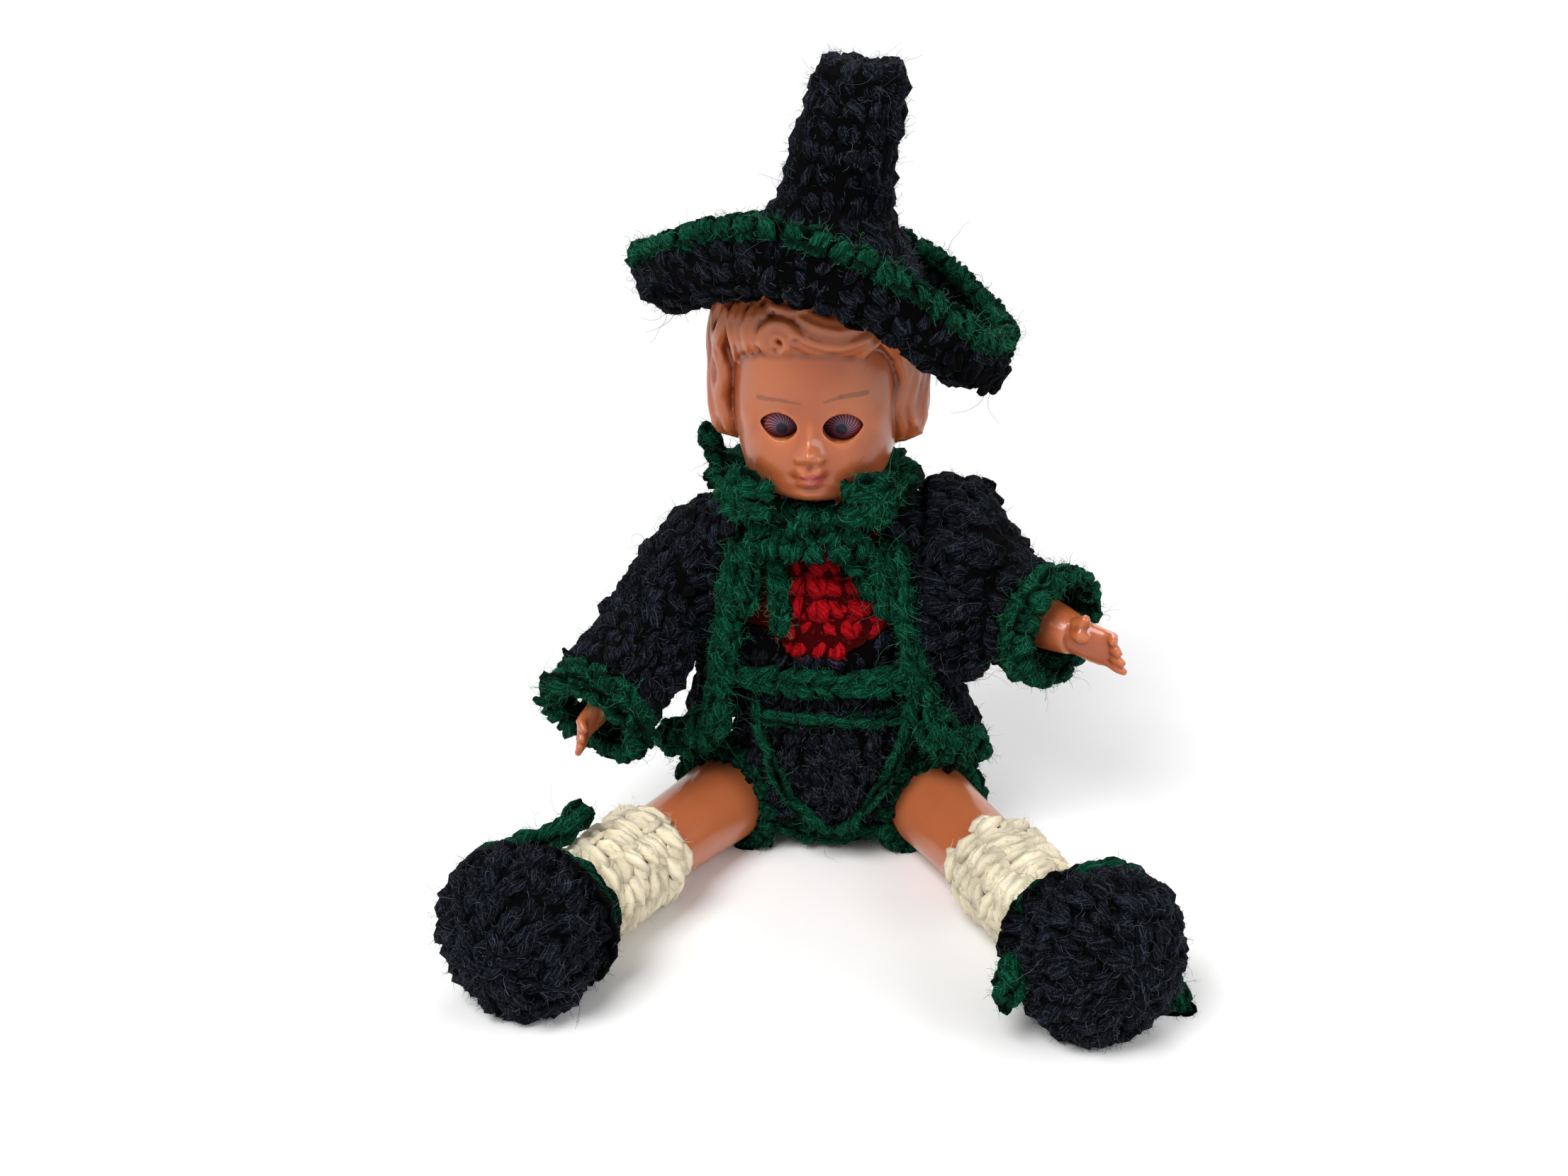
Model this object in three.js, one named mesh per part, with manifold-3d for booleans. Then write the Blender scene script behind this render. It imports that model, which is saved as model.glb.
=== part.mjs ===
// Celluloid doll with sleep eyes and strung limbs, dressed in a crocheted costume.
// Millimetres, +Z up. The doll sits on the floor plane and faces -Y, so its left side is +X.
import * as THREE from "three";
import { mergeVertices } from "three/addons/utils/BufferGeometryUtils.js";
import Module from "manifold-3d";

const wasm = await Module();
wasm.setup();

// General sizes
const CLEARANCE = 0.3;
const SHELL_WALL = 1.2;
const CLOTH = 1.8;
const ELASTIC_RADIUS = 0.7;
const WIRE_RADIUS = 0.6;
const BODY_SIDES = 16;
const LIMB_SIDES = 10;
const HAT_SIDES = 20;
const TUBE_SIDES = 12;
const SQUARENESS = 0.86;
const HOOK_HEAD_RADIUS = 2.2;
const HOOK_HEAD_LENGTH = 1;
const HOOK_BALL_RADIUS = 1.3;

// Body
const NECK_SEAT_HEIGHT = 64;
const NECK_RADIUS = 7;
const NECK_HOLE_RADIUS = 2.2;
const PELVIS_HALF_WIDTH = 19;
const WAIST_HALF_WIDTH = 17.6;
const CHEST_HALF_WIDTH = 20.4;
const BELLY_DEPTH = 13.4;
const CHEST_DEPTH = 11.6;
const BACK_DEPTH = 11.6;
const SIDE_LEAN = 2.9;

// Arms
const SHOULDER_DROP = 14;
const SHOULDER_HALF_SPAN = 19;
const SHOULDER_SETBACK = 2;
const SHOULDER_REACH = 4.5;
const ARM_LENGTH = 46;
const UPPER_ARM_RADIUS = 6.2;
const WRIST_RADIUS = 3.7;
const HAND_HALF_WIDTH = 4.6;
const HAND_HALF_THICKNESS = 2.6;
const HAND_LENGTH = 12;
const LEFT_ARM_SPREAD = 45;
const LEFT_ARM_RAISE = 87;
const RIGHT_ARM_SPREAD = 64;
const RIGHT_ARM_RAISE = 58;

// Legs, where a rise is measured from the sole
const HIP_HEIGHT = 10;
const HIP_HALF_SPAN = 10.5;
const HIP_REACH = 5;
const LEFT_LEG_SPLAY = 24;
const RIGHT_LEG_SPLAY = 27;
const LEG_LIFT = 3.2;
const LEG_LENGTH = 80.5;
const THIGH_RADIUS = 8.2;
const KNEE_RADIUS = 7.1;
const CALF_RADIUS = 6.7;
const KNEE_RISE = 38;
const CALF_RISE = 26;
const ANKLE_RADIUS = 5;
const FOOT_HALF_WIDTH = 7;
const FOOT_HALF_LENGTH = 11.5;
const FOOT_HALF_HEIGHT = 6;
const FOOT_FORWARD = 2;

// Head, measured from the neck seat
const CHIN_HEIGHT = 5.8;
const EYE_HEIGHT = 19.9;
const HAIRLINE_HEIGHT = 33;
const HEAD_HEIGHT = 50.2;
const FACE_DEPTH = 16.8;
const SKULL_HALF_WIDTH = 17;
const SKULL_DEPTH = 18;
const HAIR_HALF_WIDTH = 19.2;
const HAIR_END_HEIGHT = 13.4;
const HEAD_WALL = 1.7;
const EYE_RADIUS = 4.3;
const EYE_HALF_SPACING = 5.4;
const EYE_SETBACK = 9.7;
const EYE_OPENING_HALF_WIDTH = 3.3;
const EYE_OPENING_HALF_HEIGHT = 2.4;
const EYE_WEIGHT_DROP = 7.2;
const EYE_WEIGHT_RADIUS = 2.2;
const EYE_WEIGHT_LENGTH = 7;
const EYE_PIVOT_LENGTH = 1.2;
const EYE_PIVOT_HALF_SIZE = 1.5;
const NECK_FLOOR = 1.5;
const TOGGLE_RADIUS = 1;
const TOGGLE_LENGTH = 8.4;

// Hat, measured from the level where it grips the head, its depth below the top of the head
const HAT_DEPTH = 14.2;
const HAT_SHIFT = 0.6;
const HAT_ROLL = 6;
const HAT_HEIGHT = 43.5;
const CROWN_HEIGHT = 26;
const CROWN_BASE_RADIUS = 9.8;
const CROWN_TOP_RADIUS = 7.6;
const CROWN_SWAY = 2;
const HAT_GRIP_RADIUS = 20.8;
const BRIM_RADIUS = 33.2;
const BRIM_WALL_HEIGHT = 11;
const BRIM_CLOTH = 2.3;
const BRIM_SADDLE = 3.6;
const BRIM_TILT = 0.1;
const BRIM_SLACK = 0.38;
const BRIM_SIDE_SLACK = 0.1;
const BRIM_FRONT_RAISE = 5.6;
const BRIM_FRONT_SINK = 2;
const BRIM_FRONT_SKEW = 0.22;
const BRIM_BACK_DROP = 5;
const BRIM_SIDE_DROP = 1;
const BRIM_TWIST = 1.4;
const EDGING_RADIUS = 1.6;

// Clothes
const VEST_BOTTOM = 33;
const SHORTS_DROP = 4;
const SCOOP_RADIUS = 12;
const FLAP_HALF_WIDTH = 11.9;
const FLAP_TAPER = 1.35;
const FLAP_TOP = 30.5;
const FLAP_BOTTOM = 9;
const WAISTBAND_HEIGHT = 36.8;
const WAISTBAND_HALF_HEIGHT = 2.3;
const WAISTBAND_HALF_LENGTH = 13.6;
const JACKET_HEM_HEIGHT = 18.5;
const JACKET_NECK_RISE = 3.6;
const JACKET_SIDE_PLANE = 22;
const ARMHOLE_RADIUS = 10.6;
const OPENING_HALF_TOP = 14.6;
const OPENING_HALF_BOTTOM = 23;
const LEFT_SLEEVE_CAP = 20;
const LEFT_SLEEVE_HEAD = 7;
const RIGHT_SLEEVE_CAP = 14.8;
const RIGHT_SLEEVE_HEAD = 0.3;
const SLEEVE_RADIUS = 9.8;
const LEFT_SLEEVE_BEND = 20;
const RIGHT_SLEEVE_BEND = 17;
const LEFT_SLEEVE_LENGTH = 25.5;
const RIGHT_SLEEVE_LENGTH = 34.5;
const CUFF_LENGTH = 5;
const CUFF_RADIUS = 10.4;
const COLLAR_RADIUS = 16.4;
const COLLAR_STAND = 1.9;
const COLLAR_DIP = 4.6;
const COLLAR_HALF_WIDTH = 3.9;
const COLLAR_HALF_THICKNESS = 1.3;
const COLLAR_FLAP_HALF_LENGTH = 5.6;
const COLLAR_FLAP_HALF_HEIGHT = 4.6;
const COLLAR_FLAP_HALF_THICKNESS = 2.2;
const COLLAR_FLAP_REACH = 18.9;
const COLLAR_FLAP_RISE = 2;
const LEFT_COLLAR_FLAP_TURN = -58;
const RIGHT_COLLAR_FLAP_TURN = -130;
const TIE_HALF_WIDTH = 2;
const TIE_HALF_THICKNESS = 1;
const LONG_TIE_LENGTH = 13;
const LONG_TIE_PLACE = -7;
const SHORT_TIE_LENGTH = 5;
const SHORT_TIE_PLACE = 5;
const TIE_LOOP_RADIUS = 0.9;
const TIE_LOOP_HALF_WIDTH = 2;
const TIE_LOOP_HALF_HEIGHT = 2.7;
const TIE_LOOP_LEAN = 0.3;
const SHORTS_LEG_RADIUS = 10.4;
const SHORTS_LEG_LENGTH = 11.8;
const HEM_LENGTH = 3.4;
const SOCK_TOP_RISE = 42.5;
const SOCK_END_RISE = 11.5;
const SOCK_CLOTH = 1.5;
const SHOE_HALF_WIDTH = 13.6;
const SHOE_HALF_LENGTH = 15;
const SHOE_HALF_HEIGHT = 10.8;
const SHOE_RISE = 6.3;
const SHOE_FORWARD = 1.6;
const SHOE_TIE_RADIUS = 1.5;
const HEEL_ROOM = 0.7;

// Heights and distances that follow from the sizes above
const SHOULDER_HEIGHT = NECK_SEAT_HEIGHT - SHOULDER_DROP;
const SHORTS_TOP = SHOULDER_HEIGHT - SHORTS_DROP;
const KNEE_PLACE = LEG_LENGTH - KNEE_RISE;
const CALF_PLACE = LEG_LENGTH - CALF_RISE;
const SOCK_START = LEG_LENGTH - SOCK_TOP_RISE;
const SOCK_END = LEG_LENGTH - SOCK_END_RISE;
const SHOE_CENTRE = LEG_LENGTH - SHOE_RISE;
const HAT_LEVEL = HEAD_HEIGHT - HAT_DEPTH;
const HEM_RADIUS = SHORTS_LEG_RADIUS + 0.5;

const DEGREE = Math.PI / 180;
const vec = (x, y, z) => new THREE.Vector3(x, y, z);
const SIDEWAYS = vec(1, 0, 0);
const BACKWARD = vec(0, 1, 0);
const UPWARD = vec(0, 0, 1);

// Materials
const material = (color, roughness) => new THREE.MeshStandardMaterial({ color, roughness, metalness: 0 });
const CELLULOID = material("#c98560", 0.32);
const BLACK_YARN = material("#15161b", 0.95);
const GREEN_YARN = material("#0c5537", 0.95);
const RED_YARN = material("#a3121a", 0.95);
const CREAM_YARN = material("#ded3b8", 0.95);
const ELASTIC = material("#cfc4a8", 0.8);
const WOOD = material("#b98f5c", 0.7);
const PLASTER = material("#e6e0d2", 0.9);
const EYE_GLASS = material("#3b2430", 0.12);
const STEEL = new THREE.MeshStandardMaterial({ color: "#9a9a9c", roughness: 0.4, metalness: 1 });
const LEAD = new THREE.MeshStandardMaterial({ color: "#5b5d62", roughness: 0.6, metalness: 1 });

// Solid helpers
function facingOut(geometry) {
  const points = geometry.attributes.position;
  const index = geometry.index.array;
  const corner = (i) => vec().fromBufferAttribute(points, index[i]);
  let volume = 0;
  for (let i = 0; i < index.length; i += 3) {
    volume += corner(i).dot(corner(i + 1).cross(corner(i + 2)));
  }
  for (let i = 0; volume < 0 && i < index.length; i += 3) {
    [index[i], index[i + 1]] = [index[i + 1], index[i]];
  }
  return geometry;
}

function toSolid(geometry) {
  const bare = geometry.clone();
  bare.deleteAttribute("normal");
  bare.deleteAttribute("uv");
  const merged = mergeVertices(bare, 1e-4);
  const all = merged.index.array;
  const kept = [];
  for (let i = 0; i < all.length; i += 3) {
    const [a, b, c] = all.slice(i, i + 3);
    if (a !== b && b !== c && c !== a) {
      kept.push(a, b, c);
    }
  }
  merged.setIndex(kept);
  facingOut(merged);
  return new wasm.Manifold(new wasm.Mesh({
    numProp: 3,
    vertProperties: new Float32Array(merged.attributes.position.array),
    triVerts: new Uint32Array(merged.index.array),
  }));
}

function toGeometry(solid) {
  const mesh = solid.getMesh();
  const geometry = new THREE.BufferGeometry();
  geometry.setAttribute("position", new THREE.BufferAttribute(mesh.vertProperties, 3));
  geometry.setIndex(new THREE.BufferAttribute(mesh.triVerts, 1));
  geometry.computeVertexNormals();
  return geometry;
}

const cut = (body, ...tools) => toGeometry(tools.reduce((s, t) => s.subtract(toSolid(t)), toSolid(body)));
const join = (body, ...others) => toGeometry(others.reduce((s, o) => s.add(toSolid(o)), toSolid(body)));
const common = (body, other) => toGeometry(toSolid(body).intersect(toSolid(other)));

// Skin over a row of rings, closed by flat ends, or joined into a hoop.
function skin(rings, hoop = false) {
  const sides = rings[0].length;
  const points = rings.flat();
  const index = [];
  const spans = hoop ? rings.length : rings.length - 1;
  for (let r = 0; r < spans; r++) {
    const here = r * sides;
    const next = ((r + 1) % rings.length) * sides;
    for (let s = 0; s < sides; s++) {
      const t = (s + 1) % sides;
      index.push(here + s, here + t, next + t, here + s, next + t, next + s);
    }
  }
  if (!hoop) {
    const last = (rings.length - 1) * sides;
    for (const [start, flip] of [[0, true], [last, false]]) {
      const middle = points.length;
      const centre = vec();
      rings[start / sides].forEach((p) => centre.addScaledVector(p, 1 / sides));
      points.push(centre);
      for (let s = 0; s < sides; s++) {
        const t = (s + 1) % sides;
        index.push(middle, ...(flip ? [start + t, start + s] : [start + s, start + t]));
      }
    }
  }
  const geometry = new THREE.BufferGeometry().setFromPoints(points);
  geometry.setIndex(index);
  facingOut(geometry);
  geometry.computeVertexNormals();
  return geometry;
}

// Oval ring around a centre, in the plane of two directions.
function oval(centre, across, along, halfAcross, halfAlong, sides) {
  return Array.from({ length: sides }, (_, i) => {
    const turn = (2 * Math.PI * i) / sides;
    return centre.clone()
      .addScaledVector(across, halfAcross * Math.cos(turn))
      .addScaledVector(along, halfAlong * Math.sin(turn));
  });
}

// Level ring with its own front and back depth and slightly squared corners.
function levelRing(centreX, height, section, grow, sides) {
  return Array.from({ length: sides }, (_, i) => {
    const turn = (2 * Math.PI * i) / sides;
    const c = Math.cos(turn);
    const s = Math.sin(turn);
    const depth = s < 0 ? section.front : section.back;
    return vec(
      centreX + (section.half + grow) * Math.sign(c) * Math.abs(c) ** SQUARENESS,
      (depth + grow) * Math.sign(s) * Math.abs(s) ** SQUARENESS,
      height,
    );
  });
}

// Value at a height, read between rows of [height, ...values].
function between(rows, height) {
  const top = rows.findIndex((row) => row[0] >= height);
  if (top === 0) return rows[0].slice(1);
  if (top < 0) return rows[rows.length - 1].slice(1);
  const [low, high] = [rows[top - 1], rows[top]];
  const share = (height - low[0]) / (high[0] - low[0]);
  return low.slice(1).map((value, i) => value + (high[i + 1] - value) * share);
}

const smooth = (low, high, value) => THREE.MathUtils.smoothstep(value, low, high);
const ball = (rx, ry, rz, at, sides = 12) => new THREE.SphereGeometry(1, sides, Math.ceil(sides * 0.6))
  .rotateX(Math.PI / 2).scale(rx, ry, rz).translate(at.x, at.y, at.z);
const block = (min, max) => new THREE.BoxGeometry(max.x - min.x, max.y - min.y, max.z - min.z)
  .translate((min.x + max.x) / 2, (min.y + max.y) / 2, (min.z + max.z) / 2);

// Round bar between two points.
function bar(from, to, radius, sides = 10) {
  const way = to.clone().sub(from);
  const turn = new THREE.Quaternion().setFromUnitVectors(BACKWARD, way.clone().normalize());
  const middle = from.clone().addScaledVector(way, 0.5);
  return new THREE.CylinderGeometry(radius, radius, way.length(), sides)
    .applyQuaternion(turn).translate(middle.x, middle.y, middle.z);
}

// Cord or strip along points, oval in section, with its wide side along a given direction.
function strip(points, widthDirection, halfWidth, halfThickness, sides = 6, hoop = false) {
  const rings = points.map((p, i) => {
    const before = points[hoop ? (i + points.length - 1) % points.length : Math.max(i - 1, 0)];
    const after = points[hoop ? (i + 1) % points.length : Math.min(i + 1, points.length - 1)];
    const way = after.clone().sub(before).normalize();
    const wide = typeof widthDirection === "function" ? widthDirection(i) : widthDirection;
    const across = wide.clone().addScaledVector(way, -wide.dot(way)).normalize();
    return oval(p, across, way.cross(across).normalize(), halfWidth, halfThickness, sides);
  });
  return skin(rings, hoop);
}

function wire(points, radius, sides = 6) {
  const curve = new THREE.CatmullRomCurve3(points, false, "chordal");
  return strip(curve.getPoints(points.length * 2), SIDEWAYS, radius, radius, sides);
}

function piece(parent, name, geometry, finish) {
  const mesh = new THREE.Mesh(geometry, finish.clone());
  mesh.name = name;
  parent.add(mesh);
}

// Body shape, shared by the torso and the clothes around it
const SEAT_HEIGHT = CLOTH + CLEARANCE;
const leanAt = (height) => (-SIDE_LEAN * height) / NECK_SEAT_HEIGHT;
const BODY_ROWS = [
  [SEAT_HEIGHT, 9.5, 7.5, 7.5],
  [SEAT_HEIGHT + 3.4, PELVIS_HALF_WIDTH - 4, BELLY_DEPTH - 2.4, BACK_DEPTH - 0.4],
  [HIP_HEIGHT, PELVIS_HALF_WIDTH, BELLY_DEPTH, BACK_DEPTH + 1],
  [HIP_HEIGHT + 12, WAIST_HALF_WIDTH, BELLY_DEPTH - 0.4, BACK_DEPTH],
  [SHOULDER_HEIGHT - 10, CHEST_HALF_WIDTH - 1.2, CHEST_DEPTH + 0.8, BACK_DEPTH],
  [SHOULDER_HEIGHT, CHEST_HALF_WIDTH, CHEST_DEPTH, BACK_DEPTH - 0.4],
  [NECK_SEAT_HEIGHT - 6, CHEST_HALF_WIDTH - 3.6, CHEST_DEPTH - 2, BACK_DEPTH - 2],
  [NECK_SEAT_HEIGHT - 2, NECK_RADIUS + 3.4, NECK_RADIUS + 1, NECK_RADIUS + 1],
  [NECK_SEAT_HEIGHT, NECK_RADIUS + 0.3, NECK_RADIUS + 0.3, NECK_RADIUS + 0.3],
];

function bodySection(height) {
  const [half, front, back] = between(BODY_ROWS, height);
  return { half, front, back };
}

function bodyLoft(grow, lowest = -Infinity, highest = Infinity) {
  const first = BODY_ROWS[0][0];
  const last = BODY_ROWS[BODY_ROWS.length - 1][0];
  const heights = BODY_ROWS.map((row) => row[0]).filter((h) => h > lowest && h < highest);
  if (lowest > first) heights.unshift(lowest);
  if (highest < last) heights.push(highest);
  const rings = heights.map((h) => {
    const shift = h === first ? -grow : h === last ? grow : 0;
    return levelRing(leanAt(h), h + shift, bodySection(h), grow, BODY_SIDES);
  });
  return skin(rings);
}

// Depth that a level ring keeps at a share of its half width.
const depthShare = (share) => (1 - Math.min(Math.abs(share), 1) ** (2 / SQUARENESS)) ** (SQUARENESS / 2);

// Front surface of the body, moved outward, at a given place.
function frontPoint(x, height, grow) {
  const section = bodySection(height);
  const share = (x - leanAt(height)) / (section.half + grow);
  return vec(x, -(section.front + grow) * depthShare(share), height);
}

const JACKET_TOP = NECK_SEAT_HEIGHT + JACKET_NECK_RISE;
const COLLAR_HEIGHT = JACKET_TOP + COLLAR_STAND;

// Joint places
const hipTilt = (side) => Math.atan(Math.sin((side > 0 ? LEFT_LEG_SPLAY : RIGHT_LEG_SPLAY) * DEGREE));
const sitTurn = (side) => Math.acos(-(Math.tan(hipTilt(side)) ** 2)) + LEG_LIFT * DEGREE;
const hipAxis = (side) => vec(side * Math.cos(hipTilt(side)), 0, -Math.sin(hipTilt(side)));
const hipPlace = (side) => vec(side * HIP_HALF_SPAN, 0, HIP_HEIGHT);
const shoulderPlace = (side) => vec(leanAt(SHOULDER_HEIGHT) + side * SHOULDER_HALF_SPAN, SHOULDER_SETBACK,
  SHOULDER_HEIGHT);
const neckPlace = vec(leanAt(NECK_SEAT_HEIGHT), 0, NECK_SEAT_HEIGHT + CLEARANCE);
const HOOK_REACH = SHELL_WALL + 3.4;

// Everything beyond the flat of a joint, seen from the body.
function beyond(place, direction, setback) {
  const size = 90;
  const turn = new THREE.Quaternion().setFromUnitVectors(SIDEWAYS, direction);
  return new THREE.BoxGeometry(size, size, size).translate(size / 2 - setback, 0, 0)
    .applyQuaternion(turn).translate(place.x, place.y, place.z);
}

// Body side of a limb's joint, in the limb's own place.
const bodySide = (axis, setback) => beyond(vec(), axis.clone().negate(), setback);

function beyondHips(setback) {
  return [1, -1].map((side) => beyond(hipPlace(side), hipAxis(side), setback));
}

function beyondShoulders(setback) {
  return [1, -1].map((side) => beyond(shoulderPlace(side), vec(side, 0, 0), setback));
}

// Hook of a strung limb: a pin on the joint axis with a head inside the limb and a ball inside the body.
function limbHook(axis) {
  const onAxis = (distance) => axis.clone().multiplyScalar(distance);
  const headPlace = SHELL_WALL + 2 * CLEARANCE;
  const head = bar(onAxis(headPlace), onAxis(headPlace + HOOK_HEAD_LENGTH), HOOK_HEAD_RADIUS, 8);
  const pin = bar(onAxis(headPlace + HOOK_HEAD_LENGTH / 2), onAxis(-HOOK_REACH), WIRE_RADIUS, 8);
  const end = ball(HOOK_BALL_RADIUS, HOOK_BALL_RADIUS, HOOK_BALL_RADIUS, onAxis(-HOOK_REACH), 8);
  return join(head, pin, end);
}

const HOOK_HOLE_RADIUS = WIRE_RADIUS + 1.1;
const hookHole = (place, axis, reach) => bar(place.clone().addScaledVector(axis, -reach),
  place.clone().addScaledVector(axis, reach), HOOK_HOLE_RADIUS);

function buildTorso(doll) {
  const outer = cut(bodyLoft(0), ...beyondHips(0), ...beyondShoulders(0));
  const inner = cut(bodyLoft(-SHELL_WALL), ...beyondHips(SHELL_WALL), ...beyondShoulders(SHELL_WALL));
  const holes = [1, -1].flatMap((side) => [
    hookHole(hipPlace(side), hipAxis(side), 2.5),
    hookHole(shoulderPlace(side), vec(side, 0, 0), 2.5),
  ]);
  const neckHole = bar(vec(neckPlace.x, 0, NECK_SEAT_HEIGHT - 4), vec(neckPlace.x, 0, NECK_SEAT_HEIGHT + 2),
    NECK_HOLE_RADIUS + 0.6);
  piece(doll, "torso_shell", cut(outer, inner, neckHole, ...holes), CELLULOID);
}

function buildStringing(doll) {
  const cordEnd = HOOK_REACH + HOOK_BALL_RADIUS + CLEARANCE;
  const armCord = [1, -1].map((side) => shoulderPlace(side).add(vec(-side * cordEnd, 0, 0)));
  piece(doll, "arm_elastic", bar(armCord[0], armCord[1], ELASTIC_RADIUS), ELASTIC);
  const legCord = [1, -1].map((side) => hipPlace(side).addScaledVector(hipAxis(side), -cordEnd));
  piece(doll, "leg_elastic", bar(legCord[0], legCord[1], ELASTIC_RADIUS), ELASTIC);
  const loop = ELASTIC_RADIUS + CLEARANCE + WIRE_RADIUS;
  const bottom = legCord[0].z;
  const hookTop = bottom + 9;
  const hookPath = [
    vec(0, 0, hookTop), vec(0, 0, bottom + 5), vec(0, loop, bottom + 2), vec(0, loop, bottom),
    vec(0, 0, bottom - loop), vec(0, -loop, bottom), vec(0, -loop, bottom + 1),
  ];
  piece(doll, "stringing_hook", wire(hookPath, WIRE_RADIUS), STEEL);
  const cordTop = vec(neckPlace.x, 0, neckPlace.z + NECK_FLOOR);
  piece(doll, "neck_elastic", bar(cordTop, vec(0, 0, hookTop + CLEARANCE), ELASTIC_RADIUS), ELASTIC);
}

// Head
const FACE_ROWS = [
  [CHIN_HEIGHT, 6, 12.6, 6],
  [CHIN_HEIGHT + 2.2, 9.6, FACE_DEPTH - 1.2, 10],
  [CHIN_HEIGHT + 6.2, 12.4, FACE_DEPTH + 0.1, 14],
  [EYE_HEIGHT - 3, 14.6, FACE_DEPTH, SKULL_DEPTH - 1.5],
  [EYE_HEIGHT + 1, 15.4, FACE_DEPTH - 0.2, SKULL_DEPTH - 0.6],
  [EYE_HEIGHT + 7, SKULL_HALF_WIDTH - 0.4, FACE_DEPTH + 0.3, SKULL_DEPTH],
  [HAIRLINE_HEIGHT + 1, SKULL_HALF_WIDTH, FACE_DEPTH, SKULL_DEPTH],
  [HEAD_HEIGHT - 9, SKULL_HALF_WIDTH - 2, FACE_DEPTH - 2, SKULL_DEPTH - 2],
  [HEAD_HEIGHT - 3, 9.5, 9.4, 10],
  [HEAD_HEIGHT, 3, 3, 3],
];
const HAIR_ROWS = [
  [HAIR_END_HEIGHT, 15, 1, 15],
  [HAIR_END_HEIGHT + 1.8, HAIR_HALF_WIDTH - 1.2, 4.5, SKULL_DEPTH - 0.4],
  [EYE_HEIGHT + 2.5, HAIR_HALF_WIDTH, 7.5, SKULL_DEPTH + 0.6],
  [HAIRLINE_HEIGHT - 2, HAIR_HALF_WIDTH, 9.5, SKULL_DEPTH + 0.8],
  [HAIRLINE_HEIGHT + 1.5, HAIR_HALF_WIDTH - 0.5, FACE_DEPTH + 0.8, SKULL_DEPTH + 0.5],
  [HEAD_HEIGHT - 10, HAIR_HALF_WIDTH - 2.6, FACE_DEPTH + 0.2, SKULL_DEPTH - 1],
  [HEAD_HEIGHT - 4, 11.5, 11.8, 12],
  [HEAD_HEIGHT + 0.6, 3.6, 3.6, 3.6],
];

function headLoft(rows, grow) {
  const last = rows.length - 1;
  return skin(rows.map(([height, half, front, back], i) => {
    const shift = i === 0 ? -grow : i === last ? grow : 0;
    return levelRing(0, height + shift, { half, front, back }, grow, BODY_SIDES);
  }));
}

const eyePlace = vec(0, -EYE_SETBACK, EYE_HEIGHT);
const PIVOT_START = EYE_HALF_SPACING + EYE_RADIUS + CLEARANCE;

function pivotBlock(side, grow) {
  const inner = side * (PIVOT_START - grow);
  const outer = side * (PIVOT_START + EYE_PIVOT_LENGTH + grow);
  const half = EYE_PIVOT_HALF_SIZE + grow;
  return block(
    vec(Math.min(inner, outer), -half, -half).add(eyePlace),
    vec(Math.max(inner, outer), half, half).add(eyePlace),
  );
}

function buildHead(head) {
  const neck = bar(vec(0, 0, 0), vec(0, 0, CHIN_HEIGHT + 6), NECK_RADIUS, BODY_SIDES);
  const nose = ball(2.2, 2.4, 1.9, vec(0, -FACE_DEPTH - 0.2, EYE_HEIGHT - 4), 10);
  const solid = join(headLoft(FACE_ROWS, 0), headLoft(HAIR_ROWS, 0), neck, nose);
  const neckBore = bar(vec(0, 0, NECK_FLOOR), vec(0, 0, CHIN_HEIGHT + 8), NECK_RADIUS - SHELL_WALL);
  const neckHole = bar(vec(0, 0, -1), vec(0, 0, NECK_FLOOR + 1), NECK_HOLE_RADIUS);
  const eyeCuts = [1, -1].flatMap((side) => {
    const centre = vec(side * EYE_HALF_SPACING, 0, 0).add(eyePlace);
    const room = EYE_RADIUS + CLEARANCE;
    const opening = bar(vec(0, -12, 0), vec(0, 0, 0), 1, 16)
      .scale(EYE_OPENING_HALF_WIDTH, 1, EYE_OPENING_HALF_HEIGHT).translate(centre.x, centre.y, centre.z);
    return [ball(room, room, room, centre), opening, pivotBlock(side, CLEARANCE)];
  });
  const shell = cut(solid, headLoft(FACE_ROWS, -HEAD_WALL), neckBore, neckHole, ...eyeCuts);
  piece(head, "head_shell", shell, CELLULOID);
  const toggleEnd = (side) => vec((side * TOGGLE_LENGTH) / 2, 0, NECK_FLOOR + CLEARANCE + TOGGLE_RADIUS);
  piece(head, "neck_toggle", bar(toggleEnd(-1), toggleEnd(1), TOGGLE_RADIUS), WOOD);
  for (const [side, name] of [[1, "left_eye_pivot"], [-1, "right_eye_pivot"]]) {
    const bore = bar(vec(-20, 0, 0).add(eyePlace), vec(20, 0, 0).add(eyePlace), WIRE_RADIUS + CLEARANCE);
    piece(head, name, cut(pivotBlock(side, 0), bore), PLASTER);
  }
}

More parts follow.
